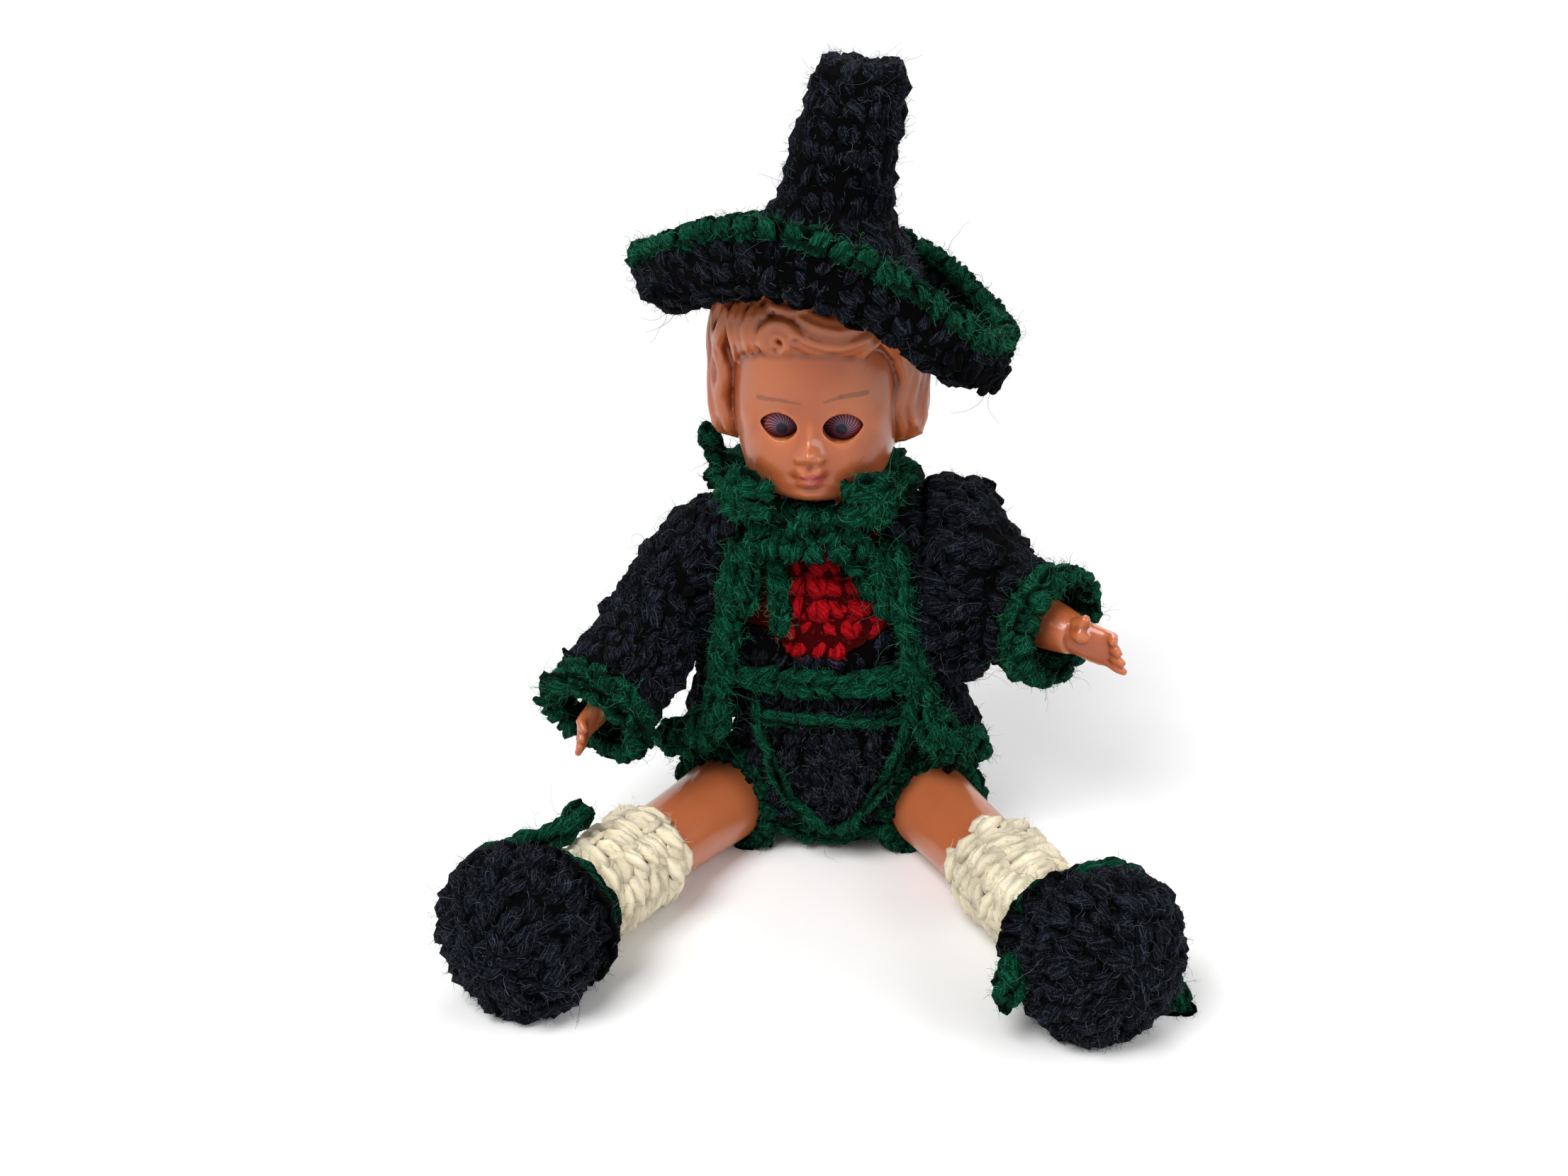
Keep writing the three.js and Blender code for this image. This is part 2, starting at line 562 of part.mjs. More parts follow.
function buildEyes(eyes) {
  const axleHalf = PIVOT_START + EYE_PIVOT_LENGTH;
  const bore = bar(vec(-axleHalf, 0, 0), vec(axleHalf, 0, 0), WIRE_RADIUS + CLEARANCE);
  for (const [side, name] of [[1, "left_eye"], [-1, "right_eye"]]) {
    const globe = ball(EYE_RADIUS, EYE_RADIUS, EYE_RADIUS, vec(side * EYE_HALF_SPACING, 0, 0));
    piece(eyes, name, cut(globe, bore), EYE_GLASS);
  }
  const weightPlace = vec(0, 1.6, -EYE_WEIGHT_DROP);
  const armEnd = weightPlace.clone().add(vec(0, 0, EYE_WEIGHT_RADIUS + CLEARANCE));
  const axle = bar(vec(-axleHalf, 0, 0), vec(axleHalf, 0, 0), WIRE_RADIUS);
  piece(eyes, "eye_rocker", join(axle, bar(vec(0, 0, 0), armEnd, WIRE_RADIUS)), STEEL);
  const weightEnd = (side) => weightPlace.clone().add(vec((side * EYE_WEIGHT_LENGTH) / 2, 0, 0));
  piece(eyes, "eye_weight", bar(weightEnd(-1), weightEnd(1), EYE_WEIGHT_RADIUS), LEAD);
}

// The hat's lower part dips at the sides, rises at the front and back and tilts toward the left.
// Its front is pushed up from the hairline, and its turned-up edge has sunk, most of all at the sides.
function settled(point) {
  const radius = Math.max(Math.hypot(point.x, point.y), CLEARANCE);
  const across = point.x / radius;
  const back = point.y / radius;
  const sides = across * across - back * back;
  const weight = smooth(CROWN_BASE_RADIUS, HAT_GRIP_RADIUS, radius);
  const edge = smooth(HAT_GRIP_RADIUS + 3, BRIM_RADIUS - 3, radius);
  const kept = 1 - edge * (BRIM_SLACK + BRIM_SIDE_SLACK * sides);
  const rise = -BRIM_SADDLE * sides - BRIM_TILT * point.x;
  const front = Math.max(0, -back - BRIM_FRONT_SKEW * across);
  const pushed = smooth(CROWN_BASE_RADIUS + 2, HAT_GRIP_RADIUS + 3, radius);
  const raise = BRIM_FRONT_RAISE * front * front * pushed;
  const ends = BRIM_FRONT_SINK * front + BRIM_BACK_DROP * Math.max(0, back);
  const lift = 2 * BRIM_TWIST * across * back - ends - BRIM_SIDE_DROP * sides;
  const sway = CROWN_SWAY * smooth(HAT_HEIGHT - CROWN_HEIGHT, HAT_HEIGHT, point.z);
  return vec(point.x + sway, point.y, point.z * kept + weight * rise + raise + edge * lift);
}

function settleBrim(geometry) {
  const points = geometry.attributes.position;
  for (let i = 0; i < points.count; i++) {
    points.setXYZ(i, ...settled(vec().fromBufferAttribute(points, i)));
  }
  return geometry;
}

function turned(profile) {
  const points = profile.map(([r, h]) => new THREE.Vector2(r, h));
  const lathe = new THREE.LatheGeometry([...points, points[0]], HAT_SIDES).rotateX(Math.PI / 2);
  return toGeometry(toSolid(lathe));
}

function buildHat(hat) {
  const side = CLOTH * 1.05;
  const grip = HAT_GRIP_RADIUS;
  const crownBase = HAT_HEIGHT - CROWN_HEIGHT;
  const crown = turned([
    [0, HAT_HEIGHT], [CROWN_TOP_RADIUS - 2.2, HAT_HEIGHT - 0.6], [CROWN_TOP_RADIUS, HAT_HEIGHT - 3.2],
    [CROWN_BASE_RADIUS - 0.7, crownBase + 7], [CROWN_BASE_RADIUS, crownBase + 1.5],
    [CROWN_BASE_RADIUS + 3, crownBase - 3.5], [grip - 2.2, crownBase - 8.6], [grip + side, 0],
    [grip, 0], [grip - 3.9, crownBase - 9.2], [CROWN_BASE_RADIUS + 1.4, crownBase - 5],
    [CROWN_BASE_RADIUS - side, crownBase], [CROWN_BASE_RADIUS - 0.7 - side, crownBase + 7],
    [CROWN_TOP_RADIUS - side, HAT_HEIGHT - 4], [0, HAT_HEIGHT - side - 0.6],
  ]);
  const inner = grip + side + CLEARANCE;
  const top = BRIM_WALL_HEIGHT;
  const brim = turned([
    [inner, -0.6], [inner + 2.4, -2], [BRIM_RADIUS - 5.4, -1.4], [BRIM_RADIUS - 1.8, 3], [BRIM_RADIUS, top],
    [BRIM_RADIUS - BRIM_CLOTH, top], [BRIM_RADIUS - 3.8, 4.4], [BRIM_RADIUS - 6.8, 1.2], [inner, 1.4],
  ]);
  const edge = Array.from({ length: HAT_SIDES }, (_, i) => {
    const turn = (2 * Math.PI * i) / HAT_SIDES;
    const radius = BRIM_RADIUS - BRIM_CLOTH / 2;
    const rim = settled(vec(radius * Math.cos(turn), radius * Math.sin(turn), top));
    return rim.add(vec(0, 0, EDGING_RADIUS + 1.5 * CLEARANCE));
  });
  piece(hat, "hat_crown", settleBrim(crown), BLACK_YARN);
  piece(hat, "hat_brim", settleBrim(brim), BLACK_YARN);
  piece(hat, "hat_edging", strip(edge, UPWARD, EDGING_RADIUS, EDGING_RADIUS + 0.2, 6, true), GREEN_YARN);
}

// Limb centre line: leaves the joint along its axis, then bends into the limb's own direction.
function limbLine(axis, direction, reach) {
  const knee = axis.clone().multiplyScalar(reach);
  const bend = new THREE.QuadraticBezierCurve3(vec(), knee, knee.clone().addScaledVector(direction, reach));
  return (distance) => {
    const share = distance / (2 * reach);
    if (share >= 1) {
      return { at: knee.clone().addScaledVector(direction, distance - reach), way: direction.clone() };
    }
    return { at: bend.getPoint(Math.max(share, 0)), way: bend.getTangent(Math.max(share, 0)) };
  };
}

function limbRing(station, halfAcross, halfThick, sides = LIMB_SIDES) {
  const across = BACKWARD.clone().cross(station.way).normalize();
  return oval(station.at, across, BACKWARD, halfAcross, halfThick, sides);
}

// Rows of [distance, half width, half thickness] along a limb.
function limbLoft(line, rows, grow) {
  return skin(rows.map(([at, across, thick]) => limbRing(line(at), across + grow, thick + grow)));
}

const armDirection = (side, spread) => vec(side * Math.cos(spread * DEGREE), 0, -Math.sin(spread * DEGREE));

function buildArm(arm, name, side, spread) {
  const axis = vec(side, 0, 0);
  const line = limbLine(axis, armDirection(side, spread), SHOULDER_REACH);
  const wrist = ARM_LENGTH - HAND_LENGTH;
  const upper = UPPER_ARM_RADIUS;
  const armRows = [
    [CLEARANCE, upper - 0.8], [2, upper], [7, upper + 0.2], [wrist * 0.45, upper - 0.9],
    [wrist * 0.72, upper - 1.3], [wrist, WRIST_RADIUS],
  ].map(([distance, radius]) => [distance, radius, radius]);
  const handRows = [
    [wrist + HAND_LENGTH * 0.3, HAND_HALF_THICKNESS + 0.3, HAND_HALF_WIDTH - 0.4],
    [wrist + HAND_LENGTH * 0.6, HAND_HALF_THICKNESS, HAND_HALF_WIDTH],
    [wrist + HAND_LENGTH * 0.9, HAND_HALF_THICKNESS - 0.6, HAND_HALF_WIDTH - 1],
    [ARM_LENGTH, HAND_HALF_THICKNESS - 1.4, HAND_HALF_WIDTH - 2.6],
  ];
  const palm = line(wrist + HAND_LENGTH * 0.42);
  const thumb = ball(1.4, 1.6, 2.4, palm.at.clone().add(vec(0, -HAND_HALF_WIDTH - 0.4, 0)), 10);
  const hollow = cut(limbLoft(line, armRows, -SHELL_WALL), bodySide(axis, CLEARANCE + SHELL_WALL));
  const solid = join(limbLoft(line, [...armRows, ...handRows], 0), thumb);
  piece(arm, `${name}_arm_shell`, cut(solid, hollow, hookHole(vec(), axis, 3)), CELLULOID);
  piece(arm, `${name}_arm_hook`, limbHook(axis), STEEL);
}

// Open tube between a row of outer rings and a row of inner rings.
const tube = (outer, inner) => skin([...outer, ...inner.reverse()], true);

// Rings of a sleeve, whose first ring lies flat against the jacket and whose head is round before it bends.
function clothRings(line, start, axis, shape, endRadius, length, grow) {
  const headEnd = shape.cap - shape.head * 0.22;
  const from = axis.clone().multiplyScalar(start + shape.head);
  const bent = line(shape.bend);
  const knee = from.clone().addScaledVector(axis, 0.7 * (bent.at.dot(axis) - start - shape.head));
  const bend = new THREE.QuadraticBezierCurve3(from, knee, bent.at);
  const first = { at: axis.clone().multiplyScalar(start), way: axis.clone() };
  const rings = [0, 0.35, 0.7].map((share) => {
    const radius = THREE.MathUtils.lerp(headEnd, endRadius, smooth(0, 1, share)) + grow;
    const way = axis.clone().lerp(bent.way, share * share).normalize();
    return limbRing({ at: bend.getPoint(share), way }, radius, radius, TUBE_SIDES);
  });
  const straight = [shape.bend, length].map((distance) => {
    return limbRing(line(distance), endRadius + grow, endRadius + grow, TUBE_SIDES);
  });
  return [limbRing(first, shape.cap + grow, shape.cap + grow, TUBE_SIDES), ...rings, ...straight];
}

function bandAround(line, start, end, outer, inner) {
  const rows = [[start, outer - 0.8], [start + 0.9, outer], [end - 0.9, outer], [end, outer - 0.8]];
  const outside = rows.map(([distance, radius]) => limbRing(line(distance), radius, radius, TUBE_SIDES));
  const inside = [start, end].map((distance) => limbRing(line(distance), inner, inner, TUBE_SIDES));
  return tube(outside, inside);
}

function buildSleeve(arm, name, side, spread, shape, length) {
  const axis = vec(side, 0, 0);
  const line = limbLine(axis, armDirection(side, spread), SHOULDER_REACH);
  const start = JACKET_SIDE_PLANE - SHOULDER_HALF_SPAN + CLEARANCE;
  const rings = (grow) => clothRings(line, start, axis, shape, SLEEVE_RADIUS, length, grow);
  piece(arm, `${name}_sleeve`, cut(tube(rings(0), rings(-CLOTH)), bodySide(axis, start)), BLACK_YARN);
  const cuffStart = length + CLEARANCE;
  const cuff = bandAround(line, cuffStart, cuffStart + CUFF_LENGTH, CUFF_RADIUS, SLEEVE_RADIUS - CLOTH);
  piece(arm, `${name}_cuff`, cuff, GREEN_YARN);
}

function buildLeg(leg, name, side, floorCut) {
  const axis = hipAxis(side);
  const down = vec(0, 0, -1);
  const line = limbLine(axis, down, HIP_REACH);
  const ankle = LEG_LENGTH - FOOT_HALF_HEIGHT - 4;
  const rows = [
    [CLEARANCE, THIGH_RADIUS - 1], [2.4, THIGH_RADIUS - 0.2], [8, THIGH_RADIUS], [14, THIGH_RADIUS],
    [24, THIGH_RADIUS - 0.6], [KNEE_PLACE, KNEE_RADIUS], [CALF_PLACE, CALF_RADIUS], [ankle, ANKLE_RADIUS],
  ].map(([distance, radius]) => [distance, radius, radius]);
  const heel = [LEG_LENGTH - FOOT_HALF_HEIGHT + 1, ANKLE_RADIUS, ANKLE_RADIUS];
  const foot = line(LEG_LENGTH - FOOT_HALF_HEIGHT + 1).at.add(vec(0, -FOOT_FORWARD, 0));
  const footBall = (grow) => {
    return ball(FOOT_HALF_WIDTH + grow, FOOT_HALF_LENGTH + grow, FOOT_HALF_HEIGHT + grow, foot, 12);
  };
  const sole = line(LEG_LENGTH).at;
  const underSole = block(sole.clone().add(vec(-30, -30, -20)), sole.clone().add(vec(30, 30, 0)));
  const hollow = cut(limbLoft(line, rows, -SHELL_WALL), bodySide(axis, CLEARANCE + SHELL_WALL));
  const outer = join(limbLoft(line, [...rows, heel], 0), footBall(0));
  const solid = cut(outer, underSole, bodySide(axis, CLEARANCE));
  piece(leg, `${name}_leg_shell`, cut(solid, hollow, hookHole(vec(), axis, 3)), CELLULOID);
  piece(leg, `${name}_leg_hook`, limbHook(axis), STEEL);

  const clothSide = bodySide(axis, CLEARANCE);
  const legRings = (grow) => [0, 0.25, 0.5, 0.75, 1].map((share) => {
    const radius = SHORTS_LEG_RADIUS + grow;
    return limbRing(line(share * SHORTS_LEG_LENGTH), radius, radius, TUBE_SIDES);
  });
  const shortsLeg = cut(tube(legRings(0), legRings(-CLOTH)), clothSide, floorCut);
  piece(leg, `${name}_shorts_leg`, shortsLeg, BLACK_YARN);
  const hemStart = SHORTS_LEG_LENGTH + CLEARANCE;
  const hem = bandAround(line, hemStart, hemStart + HEM_LENGTH, HEM_RADIUS, SHORTS_LEG_RADIUS - CLOTH);
  piece(leg, `${name}_shorts_hem`, cut(hem, clothSide, floorCut), GREEN_YARN);

  const sockRings = (grow) => [SOCK_START, CALF_PLACE, SOCK_END].map((distance) => {
    const radius = between(rows, distance)[0] + CLEARANCE + grow;
    return limbRing(line(distance), radius, radius);
  });
  piece(leg, `${name}_sock`, tube(sockRings(SOCK_CLOTH), sockRings(0)), CREAM_YARN);

  const shoePlace = line(SHOE_CENTRE).at.add(vec(0, -SHOE_FORWARD, 0));
  const sockRadius = between(rows, SHOE_CENTRE - SHOE_HALF_HEIGHT)[0] + CLEARANCE + SOCK_CLOTH;
  const ankleBore = bar(line(SOCK_START).at, line(SOCK_END + 1).at, sockRadius + CLEARANCE, 12);
  const shoeSolid = ball(SHOE_HALF_WIDTH, SHOE_HALF_LENGTH, SHOE_HALF_HEIGHT, shoePlace, 16);
  const heelRoom = bar(line(SOCK_END).at, line(LEG_LENGTH + CLEARANCE).at, ANKLE_RADIUS + HEEL_ROOM, 12);
  const shoe = cut(shoeSolid, ankleBore, heelRoom, footBall(CLEARANCE), floorCut);
  piece(leg, `${name}_shoe`, shoe, BLACK_YARN);

  const tieAt = SHOE_CENTRE - SHOE_HALF_HEIGHT - SHOE_TIE_RADIUS;
  const tieRadius = between(rows, tieAt)[0] + 2 * CLEARANCE + SOCK_CLOTH + SHOE_TIE_RADIUS;
  const loop = Array.from({ length: 16 }, (_, i) => {
    const turn = (2 * Math.PI * i) / 16;
    return line(tieAt).at.add(vec(tieRadius * Math.cos(turn), tieRadius * Math.sin(turn), 0));
  });
  const tie = strip(loop, UPWARD, SHOE_TIE_RADIUS, SHOE_TIE_RADIUS, 6, true);
  piece(leg, `${name}_shoe_tie`, cut(tie, floorCut), GREEN_YARN);
}

// Outline of the front flap, half an oval below a straight top, seen from the front.
function flapShape(grow) {
  const middle = leanAt(FLAP_TOP) + 2.2;
  const depth = FLAP_TOP - FLAP_BOTTOM + grow;
  const half = FLAP_HALF_WIDTH + grow;
  return Array.from({ length: 13 }, (_, i) => {
    const turn = (Math.PI * i) / 12;
    const across = Math.sign(Math.cos(turn)) * Math.abs(Math.cos(turn)) ** FLAP_TAPER;
    return vec(middle - half * across, 0, FLAP_TOP - depth * Math.sin(turn) ** FLAP_TAPER);
  });
}

function frontPrism(outline, depth) {
  const shape = new THREE.Shape(outline.map((p) => new THREE.Vector2(p.x, p.z)));
  return new THREE.ExtrudeGeometry(shape, { depth, bevelEnabled: false }).rotateX(Math.PI / 2);
}

function armholes() {
  return [1, -1].map((side) => bar(shoulderPlace(side).add(vec(-side, 0, 0)),
    shoulderPlace(side).add(vec(side * 20, 0, 0)), ARMHOLE_RADIUS, 20));
}

function buildUnderclothes(doll) {
  const under = CLEARANCE;
  const over = CLEARANCE + CLOTH;
  const scoopMiddle = vec(leanAt(SHORTS_TOP) + 0.8, 0, SHORTS_TOP + SCOOP_RADIUS * 0.55);
  const scoop = (setback) => bar(scoopMiddle.clone().add(vec(0, -40, 0)),
    scoopMiddle.clone().add(vec(0, -setback, 0)), SCOOP_RADIUS - setback, 20);
  const vestSolid = bodyLoft(over, VEST_BOTTOM, NECK_SEAT_HEIGHT - 2);
  const wholeVest = cut(vestSolid, bodyLoft(under, VEST_BOTTOM - 1), ...armholes());
  const shortsOuter = bodyLoft(over, -Infinity, SHORTS_TOP);
  const shortsInner = bodyLoft(under, -Infinity, SHORTS_TOP + 1);
  const shorts = cut(shortsOuter, shortsInner, scoop(0), ...beyondHips(0), ...armholes());
  piece(doll, "shorts_body", shorts, BLACK_YARN);
  const shortsRoom = cut(bodyLoft(over + 5, -Infinity, SHORTS_TOP + CLEARANCE), scoop(CLEARANCE));
  piece(doll, "vest", cut(wholeVest, shortsRoom), RED_YARN);

  const flapLow = over + CLEARANCE;
  const flapHigh = flapLow + CLOTH;
  const flapOuter = bodyLoft(flapHigh, -Infinity, FLAP_TOP + 4);
  const flapCloth = cut(flapOuter, bodyLoft(flapLow, -Infinity, FLAP_TOP + 5));
  piece(doll, "shorts_flap", common(flapCloth, frontPrism(flapShape(0), 60)), BLACK_YARN);
  const pipingGrow = flapLow + EDGING_RADIUS;
  const piping = flapShape(EDGING_RADIUS + CLEARANCE).map((p) => frontPoint(p.x, p.z, pipingGrow));
  piece(doll, "flap_piping", strip(piping, BACKWARD, EDGING_RADIUS, EDGING_RADIUS), GREEN_YARN);
  const middle = leanAt(WAISTBAND_HEIGHT) + 0.8;
  const band = Array.from({ length: 9 }, (_, i) => {
    const x = middle + WAISTBAND_HALF_LENGTH * (i / 4 - 1);
    return frontPoint(x, WAISTBAND_HEIGHT, flapLow + CLOTH / 2);
  });
  piece(doll, "waistband", strip(band, UPWARD, WAISTBAND_HALF_HEIGHT, CLOTH / 2), GREEN_YARN);
}

// Jacket shape: the body with the clothes below it, and extra ease at the hem and the shoulders.
const JACKET_EASE_ROWS = [
  [JACKET_HEM_HEIGHT, 8.4, 2.6], [JACKET_HEM_HEIGHT + 7, 8, 2.2],
  [JACKET_HEM_HEIGHT + 11.5, 7, 1.6], [JACKET_HEM_HEIGHT + 16, 1.2, 0.8],
  [SHOULDER_HEIGHT, 0.3, 0.4], [NECK_SEAT_HEIGHT - 6, 2.8, 2.2], [NECK_SEAT_HEIGHT - 1.4, 8.6, 5],
  [NECK_SEAT_HEIGHT + 1.6, 8, 3.6], [JACKET_TOP, 1.6, 1.2],
];

function jacketRing(height, grow, drop) {
  const body = bodySection(height);
  const [wide, deep] = between(JACKET_EASE_ROWS, height);
  const layers = 2 * CLEARANCE + CLOTH + grow;
  const section = { half: body.half + wide, front: body.front + deep, back: body.back + deep };
  return levelRing(leanAt(Math.min(height, NECK_SEAT_HEIGHT)), height - drop, section, layers, BODY_SIDES);
}

function jacketLoft(grow, overrun) {
  const heights = JACKET_EASE_ROWS.map((row) => row[0]);
  const last = heights.length - 1;
  const drop = overrun > 0 ? CLOTH : 0;
  const rings = heights.map((h) => jacketRing(h, grow, h > NECK_SEAT_HEIGHT - 2 ? drop : 0));
  if (overrun > 0) {
    rings.unshift(jacketRing(heights[0], grow, overrun));
    rings.push(jacketRing(heights[last], grow, -overrun));
  }
  return skin(rings);
}

// Space that a sleeve needs beside the jacket while its arm turns.
function sleeveRoom(side, spread, cap) {
  const start = JACKET_SIDE_PLANE - SHOULDER_HALF_SPAN;
  const tubeReach = SLEEVE_RADIUS + CLOTH;
  const slope = Math.tan(spread * DEGREE);
  const far = slope * (start - SHOULDER_REACH) + tubeReach / Math.cos(spread * DEGREE);
  const radius = Math.max(cap, far) + 0.5;
  const profile = [[0, start], [radius, start], [radius + 14 * slope, start + 14], [0, start + 14]];
  const place = shoulderPlace(side);
  return new THREE.LatheGeometry([...profile, profile[0]].map(([r, h]) => new THREE.Vector2(r, h)), 24)
    .rotateZ((-side * Math.PI) / 2).translate(place.x, place.y, place.z);
}

const openingEdge = (side, height) => {
  const share = (height - JACKET_HEM_HEIGHT) / (JACKET_TOP - JACKET_HEM_HEIGHT);
  const half = THREE.MathUtils.lerp(OPENING_HALF_BOTTOM, OPENING_HALF_TOP, share);
  return leanAt(height) + side * half;
};

function buildJacket(doll, thighRooms) {
  const bottom = JACKET_HEM_HEIGHT - 5;
  const top = JACKET_TOP + 5;
  const opening = frontPrism([
    vec(openingEdge(-1, bottom), 0, bottom), vec(openingEdge(1, bottom), 0, bottom),
    vec(openingEdge(1, top), 0, top), vec(openingEdge(-1, top), 0, top),
  ], 60);
  const rooms = [
    sleeveRoom(1, LEFT_ARM_SPREAD, LEFT_SLEEVE_CAP),
    sleeveRoom(-1, RIGHT_ARM_SPREAD, RIGHT_SLEEVE_CAP),
  ];
  const whole = cut(jacketLoft(CLOTH, 0), jacketLoft(0, 1));
  const cloth = cut(whole, opening, ...rooms, ...armholes(), ...thighRooms);
  const half = CLEARANCE / 2;
  piece(doll, "jacket_back", common(cloth, block(vec(-60, half, 0), vec(60, 60, 90))), BLACK_YARN);
  piece(doll, "jacket_left_front", common(cloth, block(vec(0, -60, 0), vec(60, -half, 90))), BLACK_YARN);
  piece(doll, "jacket_right_front", common(cloth, block(vec(-60, -60, 0), vec(0, -half, 90))), BLACK_YARN);
}

function jacketFront(x, height, grow) {
  const body = bodySection(height);
  const [wide, deep] = between(JACKET_EASE_ROWS, height);
  const layers = 2 * CLEARANCE + CLOTH + grow;
  const share = (x - leanAt(height)) / (body.half + wide + layers);
  return vec(x, -(body.front + deep + layers) * depthShare(share), height);
}

function buildEdgings(doll) {
  for (const [side, name] of [[1, "left"], [-1, "right"]]) {
    const path = Array.from({ length: 9 }, (_, i) => {
      const height = THREE.MathUtils.lerp(JACKET_HEM_HEIGHT + 7.5, NECK_SEAT_HEIGHT - 2.4, i / 8);
      const x = openingEdge(side, height) - side * (EDGING_RADIUS + CLEARANCE + 0.2);
      return jacketFront(x, height, CLOTH * 0.7);
    });
    piece(doll, `jacket_${name}_edging`, strip(path, BACKWARD, EDGING_RADIUS, EDGING_RADIUS), GREEN_YARN);
  }
  const hem = Array.from({ length: 15 }, (_, i) => {
    const turn = Math.PI * (0.18 + (0.64 * i) / 14);
    const ring = jacketRing(JACKET_HEM_HEIGHT, CLOTH / 2, 0);
    const quarter = (turn / (2 * Math.PI)) * BODY_SIDES;
    const before = Math.floor(quarter);
    return ring[before].clone().lerp(ring[before + 1], quarter - before)
      .add(vec(0, 0, -EDGING_RADIUS - CLEARANCE));
  });
  piece(doll, "jacket_hem_edging", strip(hem, UPWARD, EDGING_RADIUS, EDGING_RADIUS), GREEN_YARN);
}

function collarPoint(turn, lift) {
  const front = Math.max(0, -Math.sin(turn)) ** 6;
  const radius = COLLAR_RADIUS - 1.2 * front;
  const height = COLLAR_HEIGHT - COLLAR_DIP * front + lift;
  return vec(neckPlace.x + radius * Math.cos(turn), radius * Math.sin(turn), height);
}

function buildCollar(doll) {
  const count = 24;
  const turns = Array.from({ length: count }, (_, i) => (2 * Math.PI * i) / count);
  const slant = (i) => vec(Math.cos(turns[i]), Math.sin(turns[i]), 0.42).normalize();
  const ring = turns.map((turn) => collarPoint(turn, 0));
  const band = strip(ring, slant, COLLAR_HALF_WIDTH, COLLAR_HALF_THICKNESS, 6, true);
  const flaps = [LEFT_COLLAR_FLAP_TURN, RIGHT_COLLAR_FLAP_TURN].map((turn) => {
    const halves = [COLLAR_FLAP_HALF_THICKNESS, COLLAR_FLAP_HALF_LENGTH, COLLAR_FLAP_HALF_HEIGHT];
    const flap = ball(...halves, vec(COLLAR_FLAP_REACH, 0, 0), 10);
    return flap.rotateZ(turn * DEGREE).translate(neckPlace.x, 0, COLLAR_HEIGHT + COLLAR_FLAP_RISE);
  });
  piece(doll, "collar", join(band, ...flaps), GREEN_YARN);
  const hang = (x, high, low) => Array.from({ length: 5 }, (_, i) => {
    const height = THREE.MathUtils.lerp(high, low, i / 4);
    return frontPoint(x + i * CLEARANCE, height, 2 * CLEARANCE + CLOTH + 1.2 * TIE_HALF_THICKNESS);
  });
  const tieTop = COLLAR_HEIGHT - COLLAR_DIP - COLLAR_HALF_THICKNESS - 2.6;
  const ties = [["long", LONG_TIE_PLACE, LONG_TIE_LENGTH], ["short", SHORT_TIE_PLACE, SHORT_TIE_LENGTH]];
  for (const [name, place, length] of ties) {
    const path = hang(neckPlace.x + place, tieTop, tieTop - length);
    const tie = strip(path, SIDEWAYS, TIE_HALF_WIDTH, TIE_HALF_THICKNESS);
    piece(doll, `collar_tie_${name}`, tie, GREEN_YARN);
  }
  const foot = collarPoint(Math.PI, COLLAR_HALF_THICKNESS + TIE_LOOP_RADIUS + CLEARANCE);
  const loop = Array.from({ length: 12 }, (_, i) => {
    const turn = (2 * Math.PI * i) / 12;
    const rise = TIE_LOOP_HALF_HEIGHT * (1 + Math.sin(turn));
    const aside = -TIE_LOOP_LEAN * rise - TIE_LOOP_HALF_WIDTH / 2;
    return foot.clone().add(vec(aside, TIE_LOOP_HALF_WIDTH * (1 + Math.cos(turn)), rise));
  });
  const loopCord = strip(loop, SIDEWAYS, TIE_LOOP_RADIUS, TIE_LOOP_RADIUS, 6, true);
  piece(doll, "collar_tie_loop", loopCord, GREEN_YARN);
}

// Assembly
const doll = new THREE.Group();
doll.name = "celluloid_doll";
const limb = (name, place) => {
  const group = new THREE.Group();
  group.name = name;
  group.position.copy(place);
  doll.add(group);
  return group;
};

buildTorso(doll);
buildStringing(doll);
buildUnderclothes(doll);
buildEdgings(doll);
buildCollar(doll);

const head = limb("head", neckPlace);
buildHead(head);
const eyes = new THREE.Group();
eyes.name = "eyes";
eyes.position.copy(eyePlace);
head.add(eyes);
buildEyes(eyes);
const hat = new THREE.Group();
hat.name = "hat";
hat.position.set(HAT_SHIFT, 0, HAT_LEVEL);
hat.rotation.y = HAT_ROLL * DEGREE;
head.add(hat);
buildHat(hat);

const LEFT_SLEEVE = { cap: LEFT_SLEEVE_CAP, head: LEFT_SLEEVE_HEAD, bend: LEFT_SLEEVE_BEND };
const RIGHT_SLEEVE = { cap: RIGHT_SLEEVE_CAP, head: RIGHT_SLEEVE_HEAD, bend: RIGHT_SLEEVE_BEND };
const ARMS = [
  ["left", 1, LEFT_ARM_SPREAD, LEFT_ARM_RAISE, LEFT_SLEEVE, LEFT_SLEEVE_LENGTH],
  ["right", -1, RIGHT_ARM_SPREAD, RIGHT_ARM_RAISE, RIGHT_SLEEVE, RIGHT_SLEEVE_LENGTH],
];
for (const [name, side, spread, raise, shape, length] of ARMS) {
  const arm = limb(`${name}_arm`, shoulderPlace(side));
  arm.rotation.x = -raise * DEGREE;
  buildArm(arm, name, side, spread);
  buildSleeve(arm, name, side, spread, shape, length);
}

